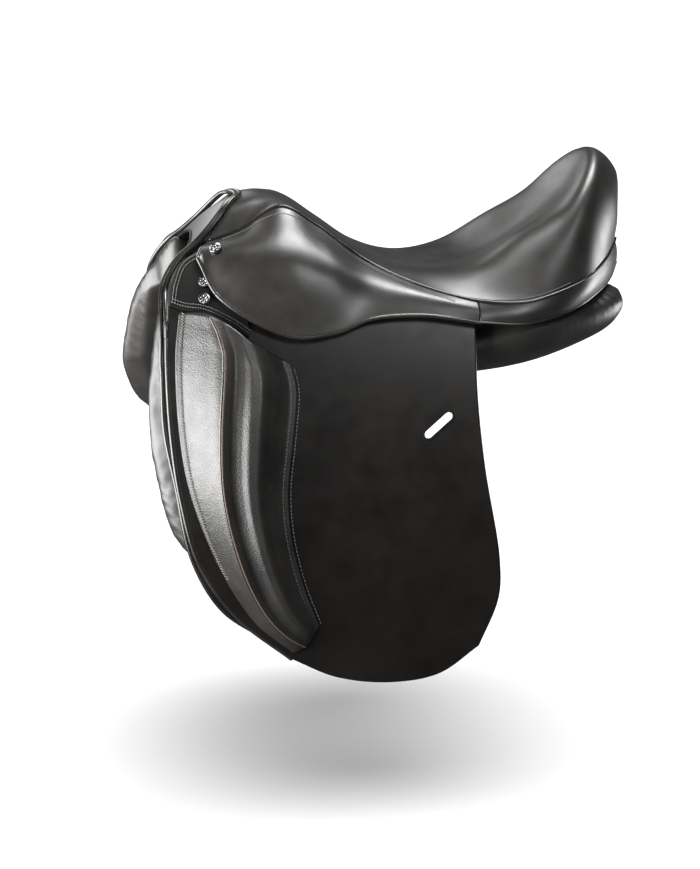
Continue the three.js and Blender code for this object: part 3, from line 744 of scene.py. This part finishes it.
# The rear cord runs on into the flap's piping and the front one into the sweat flap's: (y, z) points
# there, and their depth under the flap's face.
REAR_CORD_END = ([(-206, 15), (-207, 2)], -1.6)
FRONT_CORD_END = ([(-211, 12), (-213, -20), (-213, -32)], -12.8)
CORD_STEP = np.array([0, -4.6, -1.6])


def build_pommel():
    us, vs = 0.01 + 0.98 * crowded(71), crowded(25)
    single("pommel_face", sheet_on(facing_at, us, vs, 3.0), SEAT_LEATHER, "seat_leather",
           stands_for=["pommel_facing"])
    rear = [*POMMEL_WELT, *off_side(*REAR_CORD_END)]
    front = [*(POMMEL_WELT + CORD_STEP), *off_side(*FRONT_CORD_END)]
    for name, points, radius in (("pommel_welt", rear, 2.3), ("pommel_welt_front", front, 2.5)):
        half = along(points, 170)
        whole = np.concatenate([mirrored(half[:0:-1]), half])
        single(name, tube(whole, radius, 14), PIPING_LEATHER, "seat_leather")
    lip = facing_at(np.linspace(0.02, 0.98, 90), 0.0)
    single("pommel_lip", tube(lip, 1.6, 10), BINDING_LEATHER, "seat_leather")


# ------------------------------------------------------------------ flap
FLAP_FRONT = [
    (-190, 62), (-201, 46), (-206, 15), (-208, -27), (-207, -90), (-200, -154), (-184, -218), (-148, -272),
    (-94, -317),
]
FLAP_OUTLINE = Outline(
    top=[(-170, 69), (-110, 78), (-60, 70), (0, 44), (58, 33), (108, 22)],
    front=[(-170, 69), *FLAP_FRONT],
    rear=[(108, 22), (105, -59), (109, -130), (121, -223), (119, -262), (98, -311)],
    bottom=[(-94, -317), (-49, -338), (6, -346), (56, -339), (98, -311)],
)
SLOT = {"y": 63, "z": -89, "length": 36, "width": 9, "slant": 0.67}


def side_line(yz, count, offset):
    """Points and normals along a smooth line of (y, z) points, at an offset from the flap's face."""
    flat = along([(0, *p) for p in yz], count)[:, 1:]
    return off_side(flat, offset), side_normals(flat)


def shifted(yz, distance):
    """A line of (y, z) points moved sideways, to its left as it runs."""
    flat = along([(0, *p) for p in yz], 80)[:, 1:]
    ahead = np.gradient(flat, axis=0)
    ahead /= np.linalg.norm(ahead, axis=1, keepdims=True)
    return flat + distance * np.stack([-ahead[:, 1], ahead[:, 0]], axis=1)


def slot_ring(count, grow=0.0):
    """The keeper slot's outline on the flap, an oblong with round ends."""
    straight = (SLOT["length"] - SLOT["width"]) / 2
    radius = SLOT["width"] / 2 + grow
    turn = SLOT["slant"]
    ring = []
    for centre, first in ((straight, -math.pi / 2), (-straight, math.pi / 2)):
        for angle in np.linspace(first, first + math.pi, count // 2):
            a, b = centre + radius * math.cos(angle), radius * math.sin(angle)
            ring.append((SLOT["y"] + a * math.cos(turn) - b * math.sin(turn),
                         SLOT["z"] + a * math.sin(turn) + b * math.cos(turn)))
    return np.array(ring)


def cut_with(obj, verts, faces, sign):
    """Cuts a closed near-side shape, or its mirror image, out of a piece."""
    tool = make("cutter", (verts * (sign, 1, 1), faces), BINDING_LEATHER)
    add_modifier(obj, "BOOLEAN", operation="DIFFERENCE", solver="EXACT", object=tool)
    apply_modifiers(obj)
    bpy.data.objects.remove(tool)
    obj.data.set_sharp_from_angle(angle=math.radians(50))


def prism(ring_points, low, high):
    """A closed prism between two copies of a ring, moved along X."""
    count = len(ring_points)
    verts = np.concatenate([ring_points + (low, 0, 0), ring_points + (high, 0, 0)])
    faces = quads(2, count, closed=True)
    faces += [tuple(range(count))[::-1], tuple(range(count, 2 * count))]
    return verts, faces


def cut_slot(obj, sign):
    cut_with(obj, *prism(on_side(slot_ring(40), 0), -14, 14), sign)


def build_flaps():
    pair("flap", side_sheet(FLAP_OUTLINE, -4.5, 0, 81, 121), FLAP_LEATHER, "flap_leather",
         stands_for=["flap_{}", "flap_head_{}"], bend=HEAD_BEND, cutter=cut_slot)
    ring = slot_ring(48, grow=0.6)
    edge = evenly(off_side(np.concatenate([ring, ring[:1]]), 0.1), 90)[:-1]
    pair("keeper_slot_edge", tube(edge, 0.75, 8, closed=True), BINDING_LEATHER, "flap_leather",
         body="flap_{}")
    line, _ = side_line(FLAP_FRONT[2:], 200, -1.6)
    pair("flap_piping", tube(line, 2.2, 12), PIPING_LEATHER, "flap_leather", bend=HEAD_BEND)


# ------------------------------------------------------------------ thigh block
BLOCK_OUTLINE = Outline(
    top=[(-193, 25), (-166, 25), (-145, 15), (-116, -7), (-85, -25)],
    front=[(-193, 25), (-199, -14), (-199, -90), (-190, -150), (-162, -226), (-128, -280), (-92, -310)],
    rear=[(-85, -25), (-80, -50), (-86, -100), (-93, -150), (-91, -195), (-81, -241), (-66, -283)],
    bottom=[(-92, -310), (-79, -303), (-66, -283)],
)
# The block's height off the flap across its width: its front face, seam, knee hollow, ridge and slope.
BLOCK_SHARES = [0, 0.04, 0.10, 0.22, 0.33, 0.365, 0.41, 0.465, 0.53, 0.61, 0.67, 0.80, 0.91, 0.95, 1]
BLOCK_HEIGHTS = [1.0, 3.5, 9.0, 20.5, 30.0, 31.5, 29.0, 25.0, 26.5, 30.0, 30.0, 17.0, 4.5, 1.6, 1.4]
# How much of that it has on the way down.
BLOCK_DOWNS = [0, 0.08, 0.25, 0.60, 0.80, 0.92, 0.97, 1]
BLOCK_FULL = [0.62, 0.88, 1.0, 0.92, 0.74, 0.52, 0.34, 0.06]


def gentle(x, xs, ys):
    """A smooth curve through the values, with no overshoot."""
    i = np.clip(np.searchsorted(xs, x, side="right") - 1, 0, len(xs) - 2)
    xs, ys = np.asarray(xs, float), np.asarray(ys, float)
    slopes = np.diff(ys) / np.diff(xs)
    product, total = slopes[:-1] * slopes[1:], slopes[:-1] + slopes[1:]
    inner = np.where(product > 0, 2 * product / np.where(total == 0, 1, total), 0)
    tangents = np.r_[slopes[0], inner, slopes[-1]]
    h = xs[i + 1] - xs[i]
    t = (x - xs[i]) / h
    a, b = (1 + 2 * t) * (1 - t) ** 2, t * (1 - t) ** 2
    c, d = t * t * (3 - 2 * t), t * t * (t - 1)
    return a * ys[i] + b * h * tangents[i] + c * ys[i + 1] + d * h * tangents[i + 1]


# The course of the seam down the block, as a share across it.
SEAM_DOWNS = [0, 0.04, 0.09, 0.30, 0.60, 0.80, 0.92, 1]
SEAM_SHARES = [0.25, 0.32, 0.36, 0.325, 0.26, 0.23, 0.26, 0.34]
SEAM_PLACE = 0.365


def seam_share(down):
    return gentle(np.asarray(down, float), SEAM_DOWNS, SEAM_SHARES)


def block_height(s, down):
    """The block's height. Its profile is stretched so that the seam follows its course."""
    full = gentle(down, BLOCK_DOWNS, BLOCK_FULL)
    seam = seam_share(down)
    before, after = s * SEAM_PLACE / seam, 1 - (1 - s) * (1 - SEAM_PLACE) / (1 - seam)
    height = gentle(np.clip(np.where(s < seam, before, after), 0, 1), BLOCK_SHARES, BLOCK_HEIGHTS)
    return 0.9 + (height - 0.9) * full


def build_blocks():
    ss, downs = np.linspace(0, 1, 121), np.linspace(0, 1, 181)
    yz = BLOCK_OUTLINE.grid(ss, downs)
    height = block_height(*np.meshgrid(ss, downs))
    pucker = 0.08 * hump(ss, 0.06, 0.05)[None, :] * np.sin(downs * 210)[:, None]
    height = height + pucker + 0.25 * ripple(yz[..., 0], yz[..., 1], 26, 3) * smooth(height, 2, 8)
    pair("thigh_block", walled(on_side(yz, 0.6 + height), on_side(yz, 0.4)), BLOCK_LEATHER, "block_leather",
         body="flap_{}", stands_for=["thigh_block_cover_{}"], fill=0.8)
    build_block_seams()


def walled(outer, inner):
    """A closed mesh between two grids, with a wall round their border."""
    rows, columns = outer.shape[:2]
    place = np.arange(rows * columns).reshape(rows, columns)
    rim = [*place[0], *place[1:, -1], *place[-1, -2::-1], *place[-2:0:-1, 0]]
    under = rows * columns
    faces = quads(rows, columns) + quads(rows, columns, under, turned=True)
    faces += [(a, b, under + b, under + a) for a, b in zip(rim, rim[1:] + rim[:1])]
    return np.concatenate([outer.reshape(-1, 3), inner.reshape(-1, 3)]), faces


def block_line(shares, downs, lift):
    """Points and outward normals along the block, at shares across it and shares of the way down."""
    yz = np.array([BLOCK_OUTLINE.grid(np.array([s]), np.array([d]))[0, 0] for s, d in zip(shares, downs)])
    normals = side_normals(yz)
    return on_side(yz, 0.6 + block_height(shares, downs)) + normals * lift, normals


def build_block_seams():
    def on_block(name, geometry, material):
        pair(name, geometry, material, "block_leather", body="flap_{}")

    downs = np.linspace(0, 0.995, 220)
    on_block("block_seam_edge", tube(block_line(seam_share(downs), downs, 0.1)[0], 0.8, 8), BROWN_EDGE)
    cord, _ = block_line(seam_share(downs) - 0.014, downs, -0.3)
    on_block("block_seam_cord", tube(cord, 1.3), PIPING_LEATHER)
    line, normals = block_line(np.full(240, 0.035), np.linspace(0, 0.72, 240), 1.1)
    on_block("block_zigzag", stitches(line, normals, 2.8, 0.5, fill=0.95, tilt=0.6), SHEEN_PAINTED_THREAD)
    for name, beyond, lift in (("inner", -5.0, 2.1), ("outer", 3.0, 0.35)):
        yz = BLOCK_OUTLINE.grid(np.array([1.0]), np.linspace(0.02, 0.995, 260))[:, 0] + (beyond, 0)
        row = stitches(off_side(yz, lift), side_normals(yz), 3.8, 0.5)
        on_block(f"block_stitching_{name}", row, SHEEN_PAINTED_THREAD)


def build_block_foam():
    """The foam inside the block, clear of its leather."""
    ss, downs = 0.10 + 0.72 * crowded(31), 0.07 + 0.84 * crowded(41)
    thickness = np.maximum(block_height(*np.meshgrid(ss, downs)) - 5.0, 1.0)
    middle = on_side(BLOCK_OUTLINE.grid(ss, downs), 1.0 + thickness / 2)
    pair("thigh_block_padding", rounded_sheet(middle, ALONG_X, thickness / 2), FOAM, "foam", body="flap_{}",
         stands_for=["thigh_block_foam_{}"], fill=0.9)


# ------------------------------------------------------------------ pocket patch and studs
PATCH_FRONT = [(-169, 81), (-188, 70), (-198, 52), (-203, 32)]
PATCH_BOTTOM = [(-203, 32), (-188, 27), (-168, 24), (-146, 14), (-124, 0)]
PATCH_OUTLINE = Outline(
    top=[(-169, 81), (-150, 78), (-128, 70)],
    front=PATCH_FRONT,
    rear=[(-128, 70), (-124, 36), (-124, 0)],
    bottom=PATCH_BOTTOM,
)


def build_patches():
    def wave(y, z):
        return 0.8 * hump(y, -172, 16) * hump(z, 44, 14) + 0.3 * ripple(y, z, 18, 4)

    patch = side_sheet(PATCH_OUTLINE, 0.6, 3.4, 51, 51, wave=wave)
    pair("point_pocket", patch, BINDING_LEATHER, "flap_leather", stands_for=["point_pocket_{}"],
         bend=HEAD_BEND)
    for number, distance in ((1, 3.0), (2, 6.0)):
        for edge, points in (("front", PATCH_FRONT), ("bottom", PATCH_BOTTOM)):
            line, normals = side_line(shifted(points, distance)[2:-2], 160, 3.7)
            pair(f"pocket_stitching_{edge}_{number}", stitches(line, normals, 2.6), SHEEN_PAINTED_THREAD,
                 "flap_leather", bend=HEAD_BEND)


def stud_head(radius, height, rings=34, around=96):
    """A domed head with a rolled rim, a ring of six leaves and a dished middle, along +Z."""
    angles = np.linspace(0, 2 * math.pi, around, endpoint=False)
    circle = np.stack([np.cos(angles), np.sin(angles), 0 * angles], axis=1)
    petals = (0.5 + 0.5 * np.cos(6 * angles)) ** 1.5
    parts = [[(0.0, 0.0, height * 0.42)]]
    for share in np.linspace(0, 1, rings)[1:]:
        dish = 0.42 + 0.30 * smooth(share, 0.10, 0.30)
        rim = 0.42 * hump(share, 0.86, 0.09)
        leaf = 0.34 * hump(share, 0.55, 0.17)
        fall = 0.75 * max(0.0, (share - 0.9) / 0.1) ** 2
        z = height * (dish + rim + leaf * petals - fall - 0.12 * share)
        parts.append(circle * radius * share + z[:, None] * (0, 0, 1))
    parts.append(circle * radius * 0.97 + (0, 0, -1.2))
    under = 1 + (rings - 1) * around
    faces = [(0, 1 + i, 1 + (i + 1) % around) for i in range(around)]
    faces += quads(rings - 1, around, 1, closed=True)
    for i in range(around):
        j = (i + 1) % around
        faces.append((under - around + i, under + i, under + j, under - around + j))
    faces.append(tuple(range(under, under + around))[::-1])
    return np.concatenate(parts), faces


def standing(geometry, spot, normal):
    """Turns a piece made along +Z to stand on a spot, along a normal."""
    verts, faces = geometry
    turn = np.array(Vector((0, 0, 1)).rotation_difference(Vector(normal)).to_matrix())
    return verts @ turn.T + spot, faces


def build_studs():
    spot, normal = skirt_at(0.48, 0.10), surface_normal(skirt_at, 0.48, 0.10)
    pair("skirt_stud", standing(stud_head(7.5, 3.4), spot + normal * 0.6, normal), CHROME, "stud_chrome",
         stands_for=["skirt_stud_{}"])
    for name, yz, body in (("lower", (-167, 36), "flap_{}"), ("upper", (-166, 51), "root")):
        stud = standing(stud_head(6.3, 3.0), off_side(yz, 3.9), side_normals(np.array(yz, float)))
        pair(f"pocket_stud_{name}", stud, CHROME, "stud_chrome", body=body,
             stands_for=[f"pocket_stud_{name}_{{}}"])


# ------------------------------------------------------------------ sweat flap
SWEAT_FRONT = [
    (-190, 60), (-205, 28), (-213, -30), (-213, -85), (-204, -140), (-190, -215), (-162, -266), (-120, -297),
]
SWEAT_OUTLINE = Outline(
    top=[(-190, 60), (-60, 46), (0, 30), (95, 14)],
    front=SWEAT_FRONT,
    rear=[(95, 14), (60, -30), (38, -80), (28, -170), (26, -255)],
    bottom=[(-120, -297), (-60, -308), (-10, -296), (26, -255)],
)


def build_sweat_flaps():
    pair("sweat_flap", side_sheet(SWEAT_OUTLINE, -14.5, -11, 71, 101), FLAP_LEATHER, "flap_leather",
         stands_for=["sweat_flap_{}"])
    line, _ = side_line([(-213, -20), *SWEAT_FRONT[2:]], 180, -12.8)
    pair("sweat_flap_piping", tube(line, 2.4, 12), PIPING_LEATHER, "flap_leather")


# ------------------------------------------------------------------ billets
BILLET_Y = {"front": -62, "rear": -6}
BILLET_HOLES = [-150 - 24 * k for k in range(7)]


def cut_holes(y):
    """A cutter for one billet's row of punched holes."""
    angles = np.linspace(0, 2 * math.pi, 16, endpoint=False)
    rings = [np.stack([y + 2.4 * np.cos(angles), z + 2.4 * np.sin(angles)], axis=1) for z in BILLET_HOLES]
    holes = joined([prism(on_side(ring, -7.5), -6, 6) for ring in rings])
    return lambda obj, sign: cut_with(obj, *holes, sign)


def build_billets():
    for name, y in BILLET_Y.items():
        a, b = y - 13, y + 13
        shape = Outline(top=[(a, 9), (b, 9)], front=[(a, 9), (a, -150), (a, -296)],
                        rear=[(b, 9), (b, -150), (b, -296)],
                        bottom=[(a, -296), (a + 5, -311), (y, -318), (b - 5, -311), (b, -296)])
        body = f"billet_{name}_{{}}"
        pair(f"billet_{name}", side_sheet(shape, -9.3, -5.8, 25, 121), BILLET_LEATHER, "billet_leather",
             body=body, stands_for=[body], cutter=cut_holes(y))
        for edge, at in (("front", a + 3.2), ("rear", a + 22.8)):
            line, normals = side_line([(at, 4), (at, -140), (at, -292)], 200, -5.7)
            pair(f"billet_{name}_stitching_{edge}", stitches(line, normals, 4.0, 0.4), BLACK_THREAD,
                 "billet_leather", body=body)


# ------------------------------------------------------------------ panels
# Rings of six points round the cushion beside the gullet, from front to back.
PANEL_RINGS = [
    (-198, (50, 54), (57, 57), (63, 48), (66, 36), (60, 30), (52, 40)),
    (-182, (36, 79), (53, 71), (64, 50), (68, 30), (56, 18), (38, 46)),
    (-160, (38, 67), (56, 66), (66, 44), (68, 18), (54, 8), (40, 34)),
    (-110, (38, 54), (55, 55), (74, 30), (88, -2), (66, -18), (40, 8)),
    (-10, (37, 10), (70, 18), (100, 2), (106, -32), (74, -52), (38, -32)),
    (90, (37, 4), (78, 12), (112, -2), (122, -28), (80, -56), (37, -32)),
    (170, (37, 16), (84, 22), (130, 3), (126, -22), (80, -46), (37, -26)),
    (225, (37, 30), (78, 24), (114, 8), (110, -14), (72, -30), (37, -10)),
    (268, (37, 30), (56, 28), (86, 14), (82, -6), (60, -12), (38, 4)),
    (287, (44, 22), (54, 22), (64, 14), (64, 8), (54, 4), (44, 10)),
]
# How deep the front roll's outer face lies behind the flap's.
ROLL_FACE = -25.6
ROLL_OUTLINE = Outline(
    top=[(-190, 62), (-150, 20), (-80, -20), (30, -40)],
    front=[(-178, 76), (-203, 45), (-217, 18), (-228, -40), (-231, -86), (-226, -140), (-208, -203),
           (-184, -228)],
    rear=[(30, -40), (12, -100), (-5, -150), (-30, -190)],
    bottom=[(-184, -228), (-140, -238), (-85, -225), (-30, -190)],
)
# The share of the roll's width that its rounded nose takes.
ROLL_NOSE = 0.17


def panel_loft(stations=64, around=52):
    """The cushion through the rings, closed at both ends."""
    rows = np.array([[(x, ring[0], z) for x, z in ring[1:]] for ring in PANEL_RINGS], float)
    shares = np.linspace(0, 1, stations)
    corners = [spline(rows[:, k], shares) for k in range(6)]
    # Past its ends the ring repeats, so that the curve round it closes smoothly.
    ring = np.stack([corners[k % 6] for k in range(-1, 8)])
    turns = (1 + 6 * np.arange(around) / around) / 8
    rings = spline(ring, np.repeat(turns[:, None], stations, axis=1)).transpose(1, 0, 2)
    tips = [rings[0].mean(axis=0), rings[-1].mean(axis=0)]
    return with_tips(rings.reshape(-1, 3), stations, around, tips)


def roll_depth(s, down):
    """How thick the front roll is: full and round along its front edge, thin behind."""
    t = np.clip(s / ROLL_NOSE, 0, 1)
    profile = np.sqrt(t * (2 - t)) * (1 - 0.72 * s)
    ends = np.sqrt(np.clip(down / 0.06 + 0.35, 0, 1) * np.clip((1 - down) / 0.10 + 0.02, 0, 1))
    return 5 + 27 * profile * ends


def roll_body():
    """The front roll: its nose is round on both sides, and behind that it lies flat under the sweat flap."""
    ss, downs = np.meshgrid(np.linspace(0, 1, 61), np.linspace(0, 1, 91))
    yz = ROLL_OUTLINE.grid(ss[0], downs[:, 0])
    middle = on_side(yz, ROLL_FACE - roll_depth(np.maximum(ss, ROLL_NOSE), downs) / 2)
    return rounded_sheet(middle, ALONG_X, roll_depth(ss, downs) / 2)


def swollen(obj, pressure, cap):
    """Pumps a closed mesh up as cloth, and lets no point move further than the cap, in metres."""
    before = np.array([v.co for v in obj.data.vertices])
    scene = bpy.context.scene
    settings = obj.modifiers.new("padding", "CLOTH").settings
    settings.quality = 4
    settings.mass = 0.3
    settings.tension_stiffness = 18
    settings.compression_stiffness = 18
    settings.bending_stiffness = 1.2
    settings.use_pressure = True
    settings.uniform_pressure_force = pressure
    settings.effector_weights.gravity = 0
    for number in range(1, 21):
        scene.frame_set(number)
    apply_modifiers(obj)
    scene.frame_set(1)
    move = np.array([v.co for v in obj.data.vertices]) - before
    far = np.linalg.norm(move, axis=1, keepdims=True)
    after = before + move * np.minimum(1, cap / np.maximum(far, 1e-9))
    obj.data.vertices.foreach_set("co", after.ravel())
    obj.data.update()


# The height of the panel's creases, puckers and soft waves, and the turn of their waves per millimetre.
CREASE_HEIGHT, PUCKER_HEIGHT, SOFT_HEIGHT = 0.5, 0.22, 0.5
CREASE_TURN, PUCKER_TURN = 0.62, 0.42


def panel_wrinkles(co):
    """How far each point of the panel is pushed out or in: creases low on the front roll, puckers at the
    back below the cantle, and soft waves all over."""
    x, y, z = co.T
    low_front = smooth(-y, 170, 205) * smooth(-z, 138, 160) * (1 - smooth(-z, 205, 228))
    folds = np.sin((z + 0.5 * y + 9 * ripple(y, z, 34, 2)) * CREASE_TURN)
    creases = folds * (0.35 + 0.65 * ripple(y, z, 17, 5))
    back = smooth(y, 190, 230) * hump(z, 18, 9)
    puckers = np.sin((x - 0.8 * y) * PUCKER_TURN + ripple(x, y, 30, 1))
    soft = SOFT_HEIGHT * ripple(x + y, z, 60, 3)
    return CREASE_HEIGHT * low_front * creases + PUCKER_HEIGHT * back * puckers + soft


# How far forward the off panel's front is stuffed past the near one's, by height; it ends higher up.
OFF_NONE, OFF_FULL = 120, 205
OFF_HEIGHTS = [-175, -150, -132, -120, -104, -66, -15, 36, 60, 85]
OFF_FORWARD = [-32, -27, -13, -3, 5, 13.5, 13, 9, 6, 0]


def off_panel_shift(co):
    """How far along Y each point of the off panel is moved. All of it counts from OFF_FULL forward."""
    reach = smooth(-co[:, 1], OFF_NONE, OFF_FULL)
    return -reach * gentle(np.clip(co[:, 2], OFF_HEIGHTS[0], OFF_HEIGHTS[-1]), OFF_HEIGHTS, OFF_FORWARD)


def build_panels():
    """The padded panel with its front roll: one skin round both, swollen as cloth, then creased."""
    near = make("panel_skin", joined([panel_loft(), roll_body()]), PANEL_LEATHER)
    add_modifier(near, "REMESH", mode="VOXEL", voxel_size=0.004)
    apply_modifiers(near)
    add_modifier(near, "SMOOTH", factor=0.5, iterations=6)
    apply_modifiers(near)
    swollen(near, pressure=4.0, cap=0.004)
    add_modifier(near, "SMOOTH", factor=0.5, iterations=4)
    add_modifier(near, "SUBSURF", levels=1, render_levels=1)
    apply_modifiers(near)
    co = np.array([v.co for v in near.data.vertices]) / MM
    co += np.array([v.normal for v in near.data.vertices]) * panel_wrinkles(co)[:, None]
    faces = [tuple(face.vertices) for face in near.data.polygons]
    bpy.data.objects.remove(near)
    for side_name, sign in SIDES:
        verts = co.copy()
        if side_name == "off":
            verts[:, 1] += off_panel_shift(co)
        single(f"panel_{side_name}", (verts * (sign, 1, 1), faces), PANEL_LEATHER, "panel_leather",
               stands_for=[f"panel_{side_name}", f"front_roll_{side_name}"], fill=0.75)


LINING_LINE = [(-150, 74), (-100, 52), (-50, 22), (0, 1), (60, -3), (120, 0), (180, 14), (240, 30)]


def build_lining():
    def lining_at(u, v):
        u, v = np.broadcast_arrays(np.asarray(u, float), v)
        y, z = np.moveaxis(spline(LINING_LINE, v), -1, 0)
        return np.stack([60 * (u - 0.5), y, z + 1.0], axis=-1)

    single("gullet_lining_skin", sheet_on(lining_at, crowded(25), crowded(91), 2.0), PANEL_LEATHER,
           "panel_leather", stands_for=["gullet_lining"])


# ------------------------------------------------------------------ the CAD's own hard pieces
def finish_cad():
    """Gives every CAD piece that stays in view its finish."""
    finishes = {
        "seat_web": WEBBING, "girth_web": WEBBING, "tree_spring": STEEL, "tree": LAMINATE,
        "head_plate": STEEL, "gullet_plate": STEEL, "stirrup_bar": STEEL, "bar_catch": STEEL,
    }
    for name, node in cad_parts.items():
        if node.hide_render:
            continue
        matches = [start for start in finishes if name.startswith(start)]
        node.material_slots[0].material = finishes[max(matches, key=len)]


# ------------------------------------------------------------------ stage
FLOOR_Z = -0.49
FLOOR_REACH = 60
TARGET = Vector((0, 0, -0.14))
AZIMUTH = math.radians(80.5)
ELEVATION = math.radians(15.0)
DISTANCE = 2.24
LENS, SENSOR = 85, 36
WORLD_STRENGTH = 0.10
# Each soft box's name, place, width and height, and watts.
SOFT_BOXES = [
    ("overhead", (-0.20, 0.32, 1.30), (0.42, 0.85), 34),
    ("left", (0.12, -1.12, 0.0), (0.86, 0.85), 42),
    ("front_left", (0.80, -1.15, 0.02), (0.70, 0.85), 34),
    ("lobe", (1.25, 0.42, 0.95), (0.22, 0.45), 9),
    ("back_left", (-1.10, -0.42, 0.62), (0.70, 0.65), 5),
    ("rear_low", (-0.16, 1.0, -0.10), (0.40, 0.28), 4.5),
]


def add_light(name, kind, lit, power):
    """A light that lights only the objects that lit says."""
    light = bpy.data.lights.new(name, kind)
    light.energy = power
    obj = bpy.data.objects.new(name, light)
    obj.light_linking.receiver_collection = lit
    bpy.context.collection.objects.link(obj)
    return obj


def area_light(name, place, size, power, lit):
    """A soft box that aims at the saddle and isn't seen itself."""
    obj = add_light(name, "AREA", lit, power)
    obj.data.shape = "RECTANGLE"
    obj.data.size, obj.data.size_y = size
    obj.location = place
    obj.rotation_euler = (TARGET - Vector(place)).to_track_quat("-Z", "Y").to_euler()
    obj.visible_camera = False


def build_floor():
    corners = [(x * FLOOR_REACH, y * FLOOR_REACH, FLOOR_Z) for x, y in ((-1, -1), (1, -1), (1, 1), (-1, 1))]
    mesh = bpy.data.meshes.new("floor")
    mesh.from_pydata(corners, [], [(0, 1, 2, 3)])
    pale = {"Base Color": (0.95, 0.95, 0.95, 1), "Roughness": 0.9, "Specular IOR Level": 0.0}
    mesh.materials.append(Finish("pale_floor").made(pale))
    floor = bpy.data.objects.new("floor", mesh)
    bpy.context.collection.objects.link(floor)
    floor.visible_glossy = False
    return floor


def build_stage():
    scene = bpy.context.scene
    scene.view_settings.view_transform = "Standard"
    floor = build_floor()
    floor_only, all_but_floor = (bpy.data.collections.new(name) for name in ("floor_only", "all_but_floor"))
    for group in (floor_only, all_but_floor):
        group.objects.link(floor)
    all_but_floor.collection_objects[0].light_linking.link_state = "EXCLUDE"
    build_world(scene)
    # One soft light from straight above for the floor alone, so that it carries a single shadow.
    add_light("floor_light", "SUN", floor_only, 4.6).data.angle = math.radians(80)
    for name, place, size, power in SOFT_BOXES:
        area_light(name, place, size, power, all_but_floor)


def build_world(scene):
    """White where the camera sees it and dim where it lights the leather."""
    world = bpy.data.worlds.new("studio")
    scene.world = world
    world.use_nodes = True
    tree = world.node_tree
    dim, white = tree.nodes["Background"], tree.nodes.new("ShaderNodeBackground")
    dim.inputs["Strength"].default_value = WORLD_STRENGTH
    for background in (dim, white):
        background.inputs["Color"].default_value = (1, 1, 1, 1)
    path = tree.nodes.new("ShaderNodeLightPath")
    mix = tree.nodes.new("ShaderNodeMixShader")
    tree.links.new(path.outputs["Is Camera Ray"], mix.inputs["Fac"])
    tree.links.new(dim.outputs["Background"], mix.inputs[1])
    tree.links.new(white.outputs["Background"], mix.inputs[2])
    tree.links.new(mix.outputs["Shader"], tree.nodes["World Output"].inputs["Surface"])


def build_camera():
    data = bpy.data.cameras.new("camera")
    data.lens, data.sensor_width = LENS, SENSOR
    camera = bpy.data.objects.new("camera", data)
    level = math.cos(ELEVATION)
    direction = Vector((math.sin(AZIMUTH) * level, -math.cos(AZIMUTH) * level, math.sin(ELEVATION)))
    camera.location = TARGET + direction * DISTANCE
    camera.rotation_euler = (-direction).to_track_quat("-Z", "Y").to_euler()
    bpy.context.collection.objects.link(camera)
    bpy.context.scene.camera = camera


build_camera()
build_seat()
build_welts()
build_skirts()
build_rear_strips()
build_pommel()
build_flaps()
build_patches()
build_blocks()
build_block_foam()
build_studs()
build_sweat_flaps()
build_billets()
build_panels()
build_lining()
finish_cad()
build_stage()
